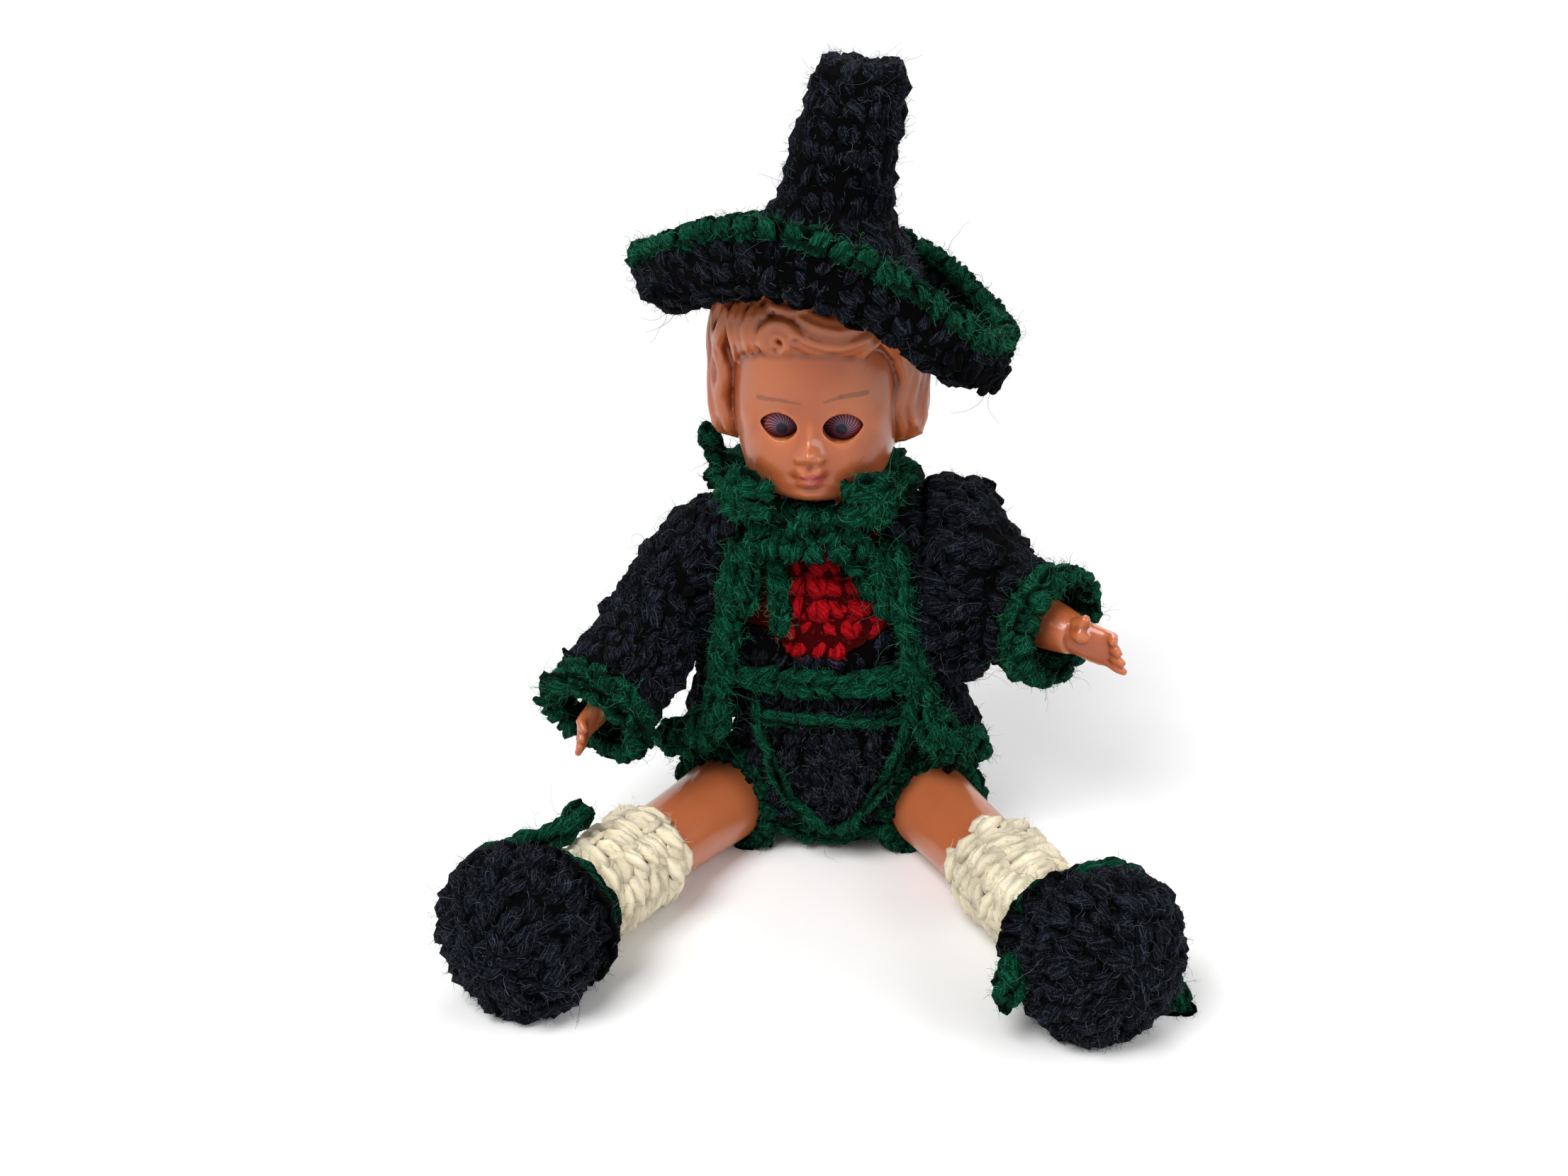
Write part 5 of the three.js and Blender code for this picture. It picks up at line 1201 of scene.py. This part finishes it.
# Arms and legs
def hand_parts(limb):
    """Palm, four curled fingers and a thumb, in the arm's own frame."""
    wrist, way = limb.local(34)
    palm = limb.side * unit(np.cross(Y, way))

    def place(d, w, t):
        return wrist + way * d - Y * w + palm * t

    spots = [(0.0, 0, 0, 3.4, 2.8), (2.2, 0.2, 0.1, 3.5, 2.3), (4.4, 0.1, 0.1, 3.6, 1.9),
             (6.4, 0, -0.1, 3.5, 1.6), (8.2, 0, -0.3, 3.1, 1.3)]
    parts = [skin([oval(place(d, w, t), Y, wide, palm, thick, 18) for d, w, t, wide, thick in spots])]
    tubes = [([(1.2, 1.2, 1.0), (3.2, 1.6, 1.5), (4.6, 1.2, 1.2)], (1.3, 1.6, 1.0)),
             ([(1.6, 2.6, 0.7), (3.0, 3.9, 1.1), (3.6, 5.0, 1.2)], (1.5, 1.15, 0.75))]
    for w, tip, curl in [(2.5, 9.8, 1.5), (0.9, 11.1, 1.3), (-0.7, 11.9, 1.1), (-2.3, 12.2, 0.7)]:
        tubes.append(([(6.4, w * 0.95, -0.3), (8.4, w, -0.2), ((8.4 + tip) / 2, w * 1.03, 0.1 + curl * 0.4),
                       (tip, w * 1.02, curl)], (1.0, 0.98, 0.88, 0.6)))
    return parts + [tube([place(*spot) for spot in path], radii, 10) for path, radii in tubes]


def foot_parts(limb):
    return [ball(limb.local(75.5)[0] + (0, -2, 0), (7, 11.5, 5.0))]


# Distance along the limb, and radius
ARM_ROWS = [(0.3, 5.4), (2, 6.2), (7, 6.4), (15.3, 5.3), (24.5, 4.9), (34, 3.6), (35.2, 3.3)]
LEG_ROWS = [(0.3, 7.2), (2.4, 8.0), (8, 8.2), (14, 8.2), (24, 7.7), (42.5, 7.1), (54.5, 6.7), (70.5, 5.0),
            (76, 5.0)]


def limb_rings(limb, rows, sides):
    rows = np.array(rows, float)
    steps = np.arange(rows[0, 0], rows[-1, 0], 0.9)
    return [limb.ring(d, r[0], r[0], sides) for d, r in zip(steps, smooth_rows(rows, steps))]


def build_limbs():
    kinds = (("arm", ARMS, ARM_ROWS, 24, hand_parts, 0.28, 3, 0.2),
             ("leg", LEGS, LEG_ROWS, 32, foot_parts, 0.65, 4, 0.3))
    for kind, limbs, rows, sides, end_parts, voxel, smoothing, spread in kinds:
        for side, limb in limbs.items():
            name = f"{side}_{kind}"
            solid = build(name, [skin(limb_rings(limb, rows, sides)), *end_parts(limb)], limb.world)
            made = moulded(solid, name, voxel, smoothing)
            note_grooves(made, spread)
            made.data.materials.append(CELLULOID)
            dress(made, name, "celluloid", f"{name}_shell")


# Hat
def brim_level(flat, height):
    """Height of the turned-up brim: sunk at the sides, pushed up at the front, tilted toward the left."""
    across, back = flat[0], flat[1]
    sides = across**2 - back**2
    kept = 1 - (0.38 + 0.1 * sides)
    front = max(0, -back - 0.22 * across)
    ends = 5.6 * front**2 - 2 * front - 5 * max(0, back)
    return height * kept - 4.6 * sides - 3.2 * across + 2.8 * across * back + ends


def brim_rise(flat, height):
    return brim_level(HAT_TURN.T @ flat, height) - height


def crown_top(points):
    """The closed top of the crown, drawn down in the middle between two rounded ends."""
    local = (points - HAT_PLACE) @ HAT_TURN
    high = np.clip((local[:, 2] - 33) / 10, 0, 1)**2
    across = (local[:, 0] - 1.8) / 6
    return points + HAT_AXIS * (high * (1.7 * np.minimum(across**2, 1) - 1.5))[:, None]


def build_hat():
    def axis(height):
        sway = np.clip((height - 17.5) / 26, 0, 1)
        return HAT_PLACE + HAT_AXIS * height + HAT_TURN @ X * 2 * sway * sway * (3 - 2 * sway)

    crown = cloth_tree("hat_crown")
    heights = [9.3, 11.8, 14.2, 17.0, 20.2, 23.9, 27.6, 31.3, 35.0, 38.4]
    rows = rounds(crown, axis, HAT_AXIS, heights, pitch=4.2)
    rows += rounds(crown, lambda h: axis(36.5), HAT_AXIS, [0, 1, 2], pitch=3.6, polar=[48, 24, 0])
    rows += bare_spots(["hat_crown"], rows, ["head_shell"])
    crochet("hat_crown", "hat", "black_yarn", rows, fuzz=0.9, strays=0.015, shrink=0.15, reshape=crown_top)

    brim = cloth_tree("hat_brim")
    rows = rounds(brim, axis, HAT_AXIS, [0.4, 4.6, 8.8], pitch=4.2, tall=4.4, rise=brim_rise)
    for lane, radius in enumerate((24.6, 28.2)):
        count = round(math.tau * radius / 4.2)
        for i in range(count):
            flat = around((i + 0.5 * lane) * math.tau / count)
            spot = HAT_TURN @ (flat * radius) + HAT_PLACE
            for way in (HAT_AXIS, -HAT_AXIS):
                hit, normal = meet(brim, spot - way * 40, way)
                if hit is not None:
                    rows.append((hit - normal * 0.9, HAT_TURN @ aside(flat), normal, (4.2, 4.4, 3.4)))
    for lane, height in enumerate((4.4, 8.2)):
        for i in range(46):
            flat = around((i + 0.5 * lane) * math.tau / 46)
            out = HAT_TURN @ flat
            spot = HAT_PLACE + HAT_AXIS * brim_level(flat, height) + out * 23
            hit, normal = meet(brim, spot, out, 12)
            if hit is not None:
                rows.append((hit - normal * 0.8, HAT_TURN @ aside(flat), normal, (4.1, 4.2, 3.2)))
    rows += bare_spots(["hat_brim"], rows, ["head_shell"])
    crochet("hat_brim", "hat", "black_yarn", rows, fuzz=0.34, shrink=0.08)

    ring = []
    for flat in map(around, circle(90)):
        local = flat * 32.0 + Z * (brim_level(flat, 11) + 2.0)
        ring.append(HAT_TURN @ local + HAT_PLACE)
    rows = rim_rows(ring, radius=1.35, pitch=3.7, rolls=3, size=(3.8, 3.4, 2.8), start=0.5)
    crochet("hat_edging", "hat", "green_yarn", rows, fuzz=0.8, length=1.7)


# Clothes on the body
def build_body_clothes():
    rows = rounds(cloth_tree("vest"), vertical, Z, np.arange(38.5, 62, 3.9), pitch=4.0, tall=4.2)
    crochet("vest", "torso", "red_yarn", rows, fuzz=0.6, shrink=0.3)
    rows = rounds(cloth_tree("shorts_body"), vertical, Z, np.arange(4.5, 45.5, 3.9), pitch=4.1)
    rows = [row for row in rows if row[0][1] < 3 or row[0][2] < 24]
    crochet("shorts", "torso", "black_yarn", rows, fuzz=0.35, nodes=["shorts_body"], shrink=0.3)
    rows = rounds(cloth_tree("shorts_flap"), vertical, Z, np.arange(10.5, 30.5, 3.7), pitch=3.9)
    crochet("shorts_flap", "torso", "black_yarn", rows, fuzz=1.2)

    middle = lean(30.5) + 2.2
    lines = []
    for first, last in ((0, 17), (23, 40)):
        sides = []
        for i in range(first, last + 1):
            turn = math.pi * i / 40
            across = math.copysign(abs(math.cos(turn))**1.35, math.cos(turn))
            sides.append((middle - 13.8 * across, 30.5 - 23.4 * math.sin(turn)**1.35))
        lines.append(front_path("flap_piping", sides, radius=1.0))
    top = [(middle + x, 29.6) for x in np.linspace(-11, 11, 20)]
    lines.append(front_path("shorts_flap", top, radius=0.0))
    rows = []
    for line in lines:
        rows += cord_rows(line, radius=0.9, pitch=3.2, rolls=2, size=(2.2, 4.2, 2.2))
    crochet("flap_piping", "torso", "green_yarn", rows, fuzz=1.2, lined=False)
    seat = [(lean(6) + x, 3.4 + 0.02 * x * x) for x in np.linspace(-13, 13, 20)]
    rows = cord_rows(front_path("shorts_body", seat, radius=0.4), radius=1.5, pitch=3.5, rolls=3)
    crochet("shorts_edging", "torso", "green_yarn", rows, fuzz=1.4, nodes=[], lined=False)

    middle = lean(36.8) + 0.8
    path = front_path("waistband", [(middle + x, 36.8) for x in np.linspace(-13.4, 13.4, 24)], radius=0.9)
    points = measured(path, pitch=3.6)
    rows = []
    for lift in (-1.25, 1.25):
        for p, way in zip(points, np.gradient(points, axis=0)):
            out = unit(np.cross(unit(way), Z))
            tip = unit(unit(way) + 0.45 * Z * np.sign(lift))
            rows.append((p + Z * lift + out * 0.2, np.cross(tip, out) * -1, out, (2.9, 4.8, 2.9)))
    crochet("waistband", "torso", "green_yarn", rows, fuzz=1.4)


GOLDEN_ANGLE = 2.399963
DEGREES_PER_RADIAN = 57.3


def puff(middle, halves, count, size):
    """Stitches gathered into a rounded lump, as at the end of an edging."""
    rows = []
    for i in range(count):
        z = 1 - 2 * (i + 0.5) / count
        out = around(i * GOLDEN_ANGLE) * math.sqrt(1 - z * z) + Z * z
        along = unit(np.cross(out, Z + 0.3 * X))
        rows.append((np.asarray(middle) + out * halves, along, unit(out / halves), size))
    return rows


def build_jacket():
    nodes = ["jacket_back", "jacket_left_front", "jacket_right_front"]
    rows = rounds(cloth_tree(*nodes), vertical, Z, np.arange(20.4, 66, 3.8), pitch=4.1)
    for side, radii in ((1, ((20.4, 17.6), (17.8, 14.6))), (-1, ((20.6, 12.9),))):
        for reach, radius in radii:
            middle = np.array((lean(SHOULDER_HEIGHT) + side * reach, 2, SHOULDER_HEIGHT))
            for turn in np.radians(np.arange(-50, 231, 4.0 / radius * DEGREES_PER_RADIAN)):
                out = np.array((0, math.cos(turn), math.sin(turn)))
                place = middle + out * radius
                rows.append((place, np.cross(X, out), unit(out - 0.4 * side * X), (4.1, 4.3, 3.4)))
        for z, wide in ((20.6, 25.6), (23.9, 25.4), (27.0, 24.6), (29.8, 23.4)):
            for i, y in enumerate(np.arange(-10, 9, 3.4)):
                across = wide - 0.02 * y * y - 1.2 * (side < 0)
                place = np.array((lean(z) + side * across, y + 2 * (i % 2) - 1, z))
                rows.append((place, Y, unit(side * X + 0.04 * y * Y), (4.7, 4.9, 4.2)))
    rows += bare_spots(nodes, rows, ["torso_shell"], ["left_sleeve", "right_sleeve"])
    crochet("jacket", "torso", "black_yarn", rows, fuzz=0.45, nodes=nodes, shrink=0.3)

    hem, neck = (18.5, 23), (67.6, 14.6)
    for side, name in ((1, "left"), (-1, "right")):
        heights = np.linspace(25.6, 65, 26)
        share = (heights - hem[0]) / (neck[0] - hem[0])
        half = hem[1] + (neck[1] - hem[1]) * share - 2.1
        node = f"jacket_{name}_edging"
        path = front_path(node, [(lean(z) + side * h, z) for z, h in zip(heights, half)], radius=1.5)
        rows = cord_rows(path, radius=1.7, pitch=3.5, rolls=4, size=(3.6, 4.8, 3.3), spin=0.25)
        beside = [p + (-2.7 * side, -0.2, 0) for p in np.array(path) if p[2] > 50]
        rows += cord_rows(beside, radius=1.5, pitch=3.5, rolls=3, size=(3.4, 4.6, 3.0), spin=0.25)
        foot = np.array(path[0])
        for step, halves in (((1.5, -0.6, 0.5), (2.6, 2.2, 2.6)), ((4.2, 0.8, -2.6), (2.8, 2.2, 2.6)),
                             ((7.6, 2.4, -3.6), (2.6, 2.2, 2.2))):
            lump = foot + np.array(step) * (side, 1, 1)
            rows += puff(lump, np.array(halves), 9, (3.4, 3.8, 3.0))
        crochet(node, "torso", "green_yarn", rows, fuzz=0.9, length=1.8, strays=0.06)

    tree = cloth_tree("jacket_hem_edging")
    centre = np.array((lean(18), 0, 16.6))
    path = []
    for out in map(around, np.linspace(0.62, math.pi - 0.62, 40)):
        hit, _ = meet(tree, centre + out * 80, -out, 78)
        if hit is not None:
            path.append(hit - out * 1.5)
    rows = cord_rows(path, radius=1.7, pitch=3.5, rolls=4, spin=0.25)
    crochet("jacket_hem", "torso", "green_yarn", rows, fuzz=1.1, nodes=["jacket_hem_edging"])


COLLAR_RADIUS, COLLAR_HEIGHT, COLLAR_SLOPE = 16.4, 69.5, 0.42
COLLAR_DIP = 4.6


def build_collar():
    rows = []
    for lane, inward in enumerate((1.9, -1.7)):
        count = round(math.tau * (COLLAR_RADIUS - inward) / 4.2)
        for i in range(count):
            out = around((i + 0.5 * lane) * math.tau / count)
            front = max(0, -out[1])**6
            slant = unit(out + COLLAR_SLOPE * Z)
            wide = COLLAR_RADIUS - 1.2 * front - 1.8 * max(0, out[0])**2
            place = out * wide - NECK_LEAN * X + Z * (COLLAR_HEIGHT - COLLAR_DIP * front) - slant * inward
            rows.append((place, aside(out), unit(Z - COLLAR_SLOPE * out), (4.4, 4.4, 3.6)))

    def lay(out, radius, height, tilt):
        place = out * radius - NECK_LEAN * X + Z * height
        rows.append((place, aside(out), unit(Z + tilt * out), (4.2, 4.2, 3.4)))

    for radius, height, half in ((14.6, 67.0, 32), (16.6, 65.4, 28), (12.4, 67.2, 40), (17.6, 62.4, 33)):
        step = 4.0 / radius * DEGREES_PER_RADIAN
        for out in map(around, np.radians(np.arange(-94 - half, -94 + half + 1, step))):
            lay(out, radius, height, 0.9)
    for out in map(around, np.radians(np.arange(-50, 231, 14.6))):
        lay(out, 15.6 - 1.4 * max(0, out[0]), 66.4, 1.6)
    collar = cloth_tree("collar")
    for turn in (-58, -130):
        out = around(math.radians(turn))
        middle = out * 18.9 - NECK_LEAN * X + Z * 71.5
        rows += rounds(collar, lambda k: middle, unit(out + 0.35 * Z), range(4), pitch=3.8, tall=4.0,
                       polar=[0, 30, 58, 86], reach=30, sink=0.9)
    crochet("collar", "torso", "green_yarn", rows, fuzz=1.0, length=1.9, unevenness=0.4, strays=0.03)

    top = COLLAR_HEIGHT - COLLAR_DIP - 1.3 - 2.6
    for name, x, drop, width, slide in (("collar_tie_long", -9.9, 13, 3.4, 0),
                                        ("collar_tie_short", 2.1, 5, 3.6, 3.4)):
        places = [(x + 1.2 * t, top - 0.2 - (drop - 0.4) * t) for t in np.linspace(0, 1, 12)]
        path = np.array(front_path(name, places, radius=0.9))
        path += np.linspace(0, 1, len(path))[:, None] * (slide, 0.1 * slide, -0.4 * slide)
        rows = cord_rows(path, radius=1.4, pitch=3.2, rolls=3, size=(width, 4.4, 2.8))
        crochet(name, "torso", "green_yarn", rows, fuzz=1.2, length=1.9)
    start = np.array((-NECK_LEAN - COLLAR_RADIUS, 2, COLLAR_HEIGHT + 2.5))
    loop = []
    for turn in np.linspace(0, math.tau, 24, endpoint=False):
        rise = 2.9 * (1 + math.sin(turn))
        loop.append(start + (-COLLAR_SLOPE * rise - 1.3, 1.6 * math.cos(turn), rise))
    rows = cord_rows(loop, radius=1.2, pitch=3.0, rolls=3, size=(2.5, 3.8, 2.4), closed=True)
    crochet("collar_loop", "torso", "green_yarn", rows, fuzz=1.2, nodes=["collar_tie_loop"])


# Clothes on the limbs
SLEEVE_START = 3.3


def sleeve_line(arm, head, bend):
    """Middle of a sleeve: straight out of the shoulder, then bent into the arm's own line."""
    start = arm.axis * (SLEEVE_START + head)
    last = arm.local(bend)[0]
    knee = start + arm.axis * 0.7 * (last.dot(arm.axis) - SLEEVE_START - head)
    shares = np.linspace(0, 1, 20)[:, None]
    bent = (1 - shares)**2 * start + 2 * shares * (1 - shares) * knee + shares**2 * last
    straight = [arm.local(d)[0] for d in np.arange(bend + 0.5, 45, 0.5)]
    points = arm.world(np.concatenate([np.linspace(arm.axis * SLEEVE_START, start, 12)[:-1], bent, straight]))
    run = np.concatenate([[0], np.cumsum(np.linalg.norm(np.diff(points, axis=0), axis=1))])
    ways = np.gradient(points, axis=0)

    def at(distance):
        return read_along(distance, run, points)

    def way(distance):
        return unit(read_along(distance, run, ways))

    ends = np.linalg.norm(points - arm.at(bend), axis=1).argmin()
    return at, way, run[ends] - bend


def build_sleeves():
    sleeves = (("left", 25.5, 7.0, 20.0, (1.8, 5.4, 8.4, 10.2, 12.6)),
               ("right", 34.5, 0.3, 17.0, (1.6, 4.6, 7.6, 10.8)))
    for name, length, head, bend, first in sleeves:
        arm, body = ARMS[name], f"{name}_arm"
        sleeve, cuff = f"{name}_sleeve", f"{name}_cuff"
        at, way, ahead = sleeve_line(arm, head, bend)
        distances = [*first, *np.arange(first[-1] + 3.4, length + ahead - 0.8, 3.6)]
        rows = rounds(cloth_tree(sleeve), at, way, distances, pitch=4.1, reach=32)
        rows += bare_spots([sleeve], rows, [f"{body}_shell"],
                           ["torso_shell", "jacket_back", f"jacket_{name}_front"])
        crochet(sleeve, body, "black_yarn", rows, fuzz=0.75, shrink=0.4)
        rows = rounds(cloth_tree(cuff), arm.at, arm.way(), [length + 1.6, length + 4.4], pitch=4.3, tall=4.4)
        rim = arm.world(arm.ring(length + 5.0, 9.2, 9.2, 40))
        rows += rim_rows(rim, radius=1.2, pitch=4.2, rolls=2, size=(4.2, 3.6, 3.0))
        crochet(cuff, body, "green_yarn", rows, fuzz=1.0, length=1.8, strays=0.03)


# Free ends and loops of the shoe ties: distance along the leg, sideways and backward from its middle
TIE_ENDS = {
    "right": [[(68, -5, -12.8), (65, -3.5, -12.6), (61.5, -2, -11.8), (58, -0.5, -11.4), (55, 0.8, -11.8),
               (53.2, 1.6, -12.8)]],
    "left": [[(67, -3, -11.4), (67.5, 0, -13.2), (68, 3.4, -13.2), (68.5, 6.6, -11.4)],
             [(66, 13.5, 0), (69, 17.4, 1.2), (72.5, 19.2, 3), (75, 19.4, 6), (73, 18.4, 8.8), (69, 16, 7.4)],
             [(70, -12, 5), (71.4, -12.8, 6.4), (72.4, -13.2, 8)]],
}
SOCK_BANDS = 10


def build_leg_clothes():
    for name, leg in LEGS.items():
        body = f"{name}_leg"
        shorts, hem, sock, shoe, tie = (f"{name}_{part}" for part in (
            "shorts_leg", "shorts_hem", "sock", "shoe", "shoe_tie"))
        rows = rounds(cloth_tree(shorts), leg.at, leg.way(), [3.0, 6.6, 10.2], pitch=4.1)
        rows += bare_spots([shorts], rows, [f"{body}_shell"], ["shorts_body", hem])
        crochet(shorts, body, "black_yarn", rows, fuzz=0.7, shrink=0.3)
        edge = leg.world(leg.ring(13.8, 9.5, 9.5, 40))
        rows = rim_rows(edge, radius=1.5, pitch=3.8, rolls=4, size=(3.9, 3.6, 2.9))
        crochet(hem, body, "green_yarn", rows, fuzz=1.0)

        tree = cloth_tree(sock)
        rows = []
        for band in range(SOCK_BANDS):
            turn = (band + 0.5) * math.tau / SOCK_BANDS
            for d in np.arange(39.6 + 1.6 * (band % 2), 69, 3.3):
                at, way = leg.local(d)
                out = leg.turn @ (math.cos(turn) * unit(np.cross(Y, way)) + math.sin(turn) * Y)
                hit, normal = meet(tree, leg.world(at) + out * 40, -out, 39)
                if hit is not None:
                    rows.append((hit - normal * 0.8, leg.way(), out, (3.9, 6.0, 3.9)))
        crochet(sock, body, "cream_yarn", rows, fuzz=0.7, length=1.6, lined=False, unevenness=0.16)

        middle = leg.world(leg.local(74.2)[0] + (0, -1.6, 0))
        polar = [0, 17, 34, 51, 68, 85, 102, 119]
        rows = rounds(cloth_tree(shoe), lambda k: middle, leg.way(), range(len(polar)), pitch=4.1, tall=4.4,
                      polar=polar, reach=40)
        rim = leg.world(leg.ring(64.9, 9.9, 10.4, 40))
        rows += rim_rows(rim, radius=0.9, pitch=4.1, rolls=2, size=(4.2, 4.2, 3.4))
        crochet(shoe, body, "black_yarn", rows, fuzz=0.8)

        tree = cloth_tree(tie)
        ring = []
        for flat in map(around, circle(32)):
            out = leg.turn @ flat
            hit, _ = meet(tree, leg.at(61.9) + out * 40, -out, 39)
            if hit is not None:
                ring.append(hit - out * 1.5)
        rows = cord_rows(ring, radius=0.7, pitch=3.2, rolls=2, size=(2.2, 4.0, 2.1), closed=True, sink=0.3)
        for end in TIE_ENDS[name]:
            path = leg.world([leg.local(d)[0] + (x, y, 0) for d, x, y in end])
            rows += cord_rows(path, radius=1.8, pitch=3.2, rolls=3, size=(3.3, 4.4, 3.1))
        crochet(tie, body, "green_yarn", rows, fuzz=1.2)


# Inner fittings, whose CAD shapes stay
def finish_fittings():
    steel = plain_finish("steel_wire", "#a8a8aa", "#7d7d80", 0.35, 1.0)
    finishes = {
        "torso_shell": CELLULOID, "eye_rocker": steel, "stringing_hook": steel,
        "neck_toggle": plain_finish("toggle_wood", "#c39a66", "#a57c48", 0.6),
        "eye_weight": plain_finish("lead", "#6a6c72", "#4d4f55", 0.5, 1.0),
    }
    elastic = plain_finish("elastic", "#d6ccb1", "#b9ad8d", 0.8)
    plaster = plain_finish("plaster", "#e9e3d6", "#d3ccba", 0.85)
    for side in ("left", "right"):
        finishes |= {f"{side}_eye_pivot": plaster, f"{side}_arm_hook": steel, f"{side}_leg_hook": steel}
    finishes |= {f"{part}_elastic": elastic for part in ("neck", "arm", "leg")}
    for node, material in finishes.items():
        NODES[node].data.materials.clear()
        NODES[node].data.materials.append(material)


# Camera, light and floor
CAMERA_TARGET = np.array((-8.45, -8.0, 51.75))
CAMERA_DISTANCE, CAMERA_RISE, CAMERA_TURN = 310.0, 23.0, 3.4
LENS, SENSOR = 39.73, 36.0


def set_camera():
    rise, turn = math.radians(CAMERA_RISE), math.radians(CAMERA_TURN)
    back = np.array((math.sin(turn) * math.cos(rise), -math.cos(turn) * math.cos(rise), math.sin(rise)))
    camera = placed("camera", bpy.data.cameras.new("camera"))
    camera.data.lens, camera.data.sensor_width = LENS, SENSOR
    camera.data.clip_start = 0.01
    camera.location = Vector((CAMERA_TARGET + back * CAMERA_DISTANCE) * MM)
    camera.rotation_euler = Vector(-back).to_track_quat("-Z", "Y").to_euler()
    SCENE.camera = camera


def lamp(name, place, target, size, power):
    light = bpy.data.lights.new(name, "AREA")
    light.size, light.energy = size, power
    obj = placed(name, light)
    obj.location = place
    obj.rotation_euler = (Vector(target) - Vector(place)).to_track_quat("-Z", "Y").to_euler()


def seen_directly(tree):
    """1 for rays that show a surface itself, 0 for its light on other things."""
    ways = add(tree, "ShaderNodeLightPath").outputs
    seen = maths(tree, "MAXIMUM", ways["Is Camera Ray"], ways["Is Glossy Ray"])
    return maths(tree, "MAXIMUM", seen, ways["Is Transmission Ray"])


FLOOR_HALF = 900


def set_studio():
    SCENE.view_settings.view_transform = "Standard"
    lamp("window", (-0.3, -0.42, 0.66), (0, 0, 0.05), 0.42, 5.8)
    lamp("side", (0.55, -0.25, 0.4), (0, 0, 0.05), 0.4, 1.8)
    lamp("behind", (0.1, 0.55, 0.6), (0, 0, 0.08), 0.4, 2.2)
    world = bpy.data.worlds.new("studio")
    world.use_nodes = True
    tree = world.node_tree
    tree.nodes.clear()
    strength = plus(tree, 0.34, times(tree, seen_directly(tree), 0.66))
    back = add(tree, "ShaderNodeBackground", {0: (1, 1, 1, 1), 1: strength})
    add(tree, "ShaderNodeOutputWorld", {0: back.outputs[0]})
    SCENE.world = world

    corners = np.array([(-1, -1, 0), (1, -1, 0), (1, 1, 0), (-1, 1, 0)], float) * FLOOR_HALF
    floor = build("floor", [(corners, [(0, 1, 2, 3)], None)])
    material, tree, shader = new_material("pale_floor")
    place = object_place(tree)
    tones = [(0.3, linear("#f9f9f9")), (0.7, linear("#fdfdfd"))]
    feed(tree, shader, {"Base Color": ramp(tree, noise(tree, place, 30.0, 2.0), tones), "Roughness": 0.9})
    away = vectors(tree, "LENGTH", vectors(tree, "MULTIPLY", place, (1, 1, 0)))
    far = times(tree, fade(tree, away, 0.07, 0.22), seen_directly(tree))
    glow = add(tree, "ShaderNodeEmission", {0: (1, 1, 1, 1), 1: 1.0})
    blend = add(tree, "ShaderNodeMixShader", {0: far, 1: shader.outputs[0], 2: glow.outputs[0]})
    tree.links.new(blend.outputs[0], tree.get_output_node("ALL").inputs[0])
    floor.data.materials.append(material)


set_camera()
set_studio()
build_head()
build_limbs()
build_hat()
build_body_clothes()
build_jacket()
build_collar()
build_sleeves()
build_leg_clothes()
finish_fittings()
for pattern in (*STITCHES, EMPTY, *FIBRES, *STRAYS):
    bpy.data.objects.remove(pattern)
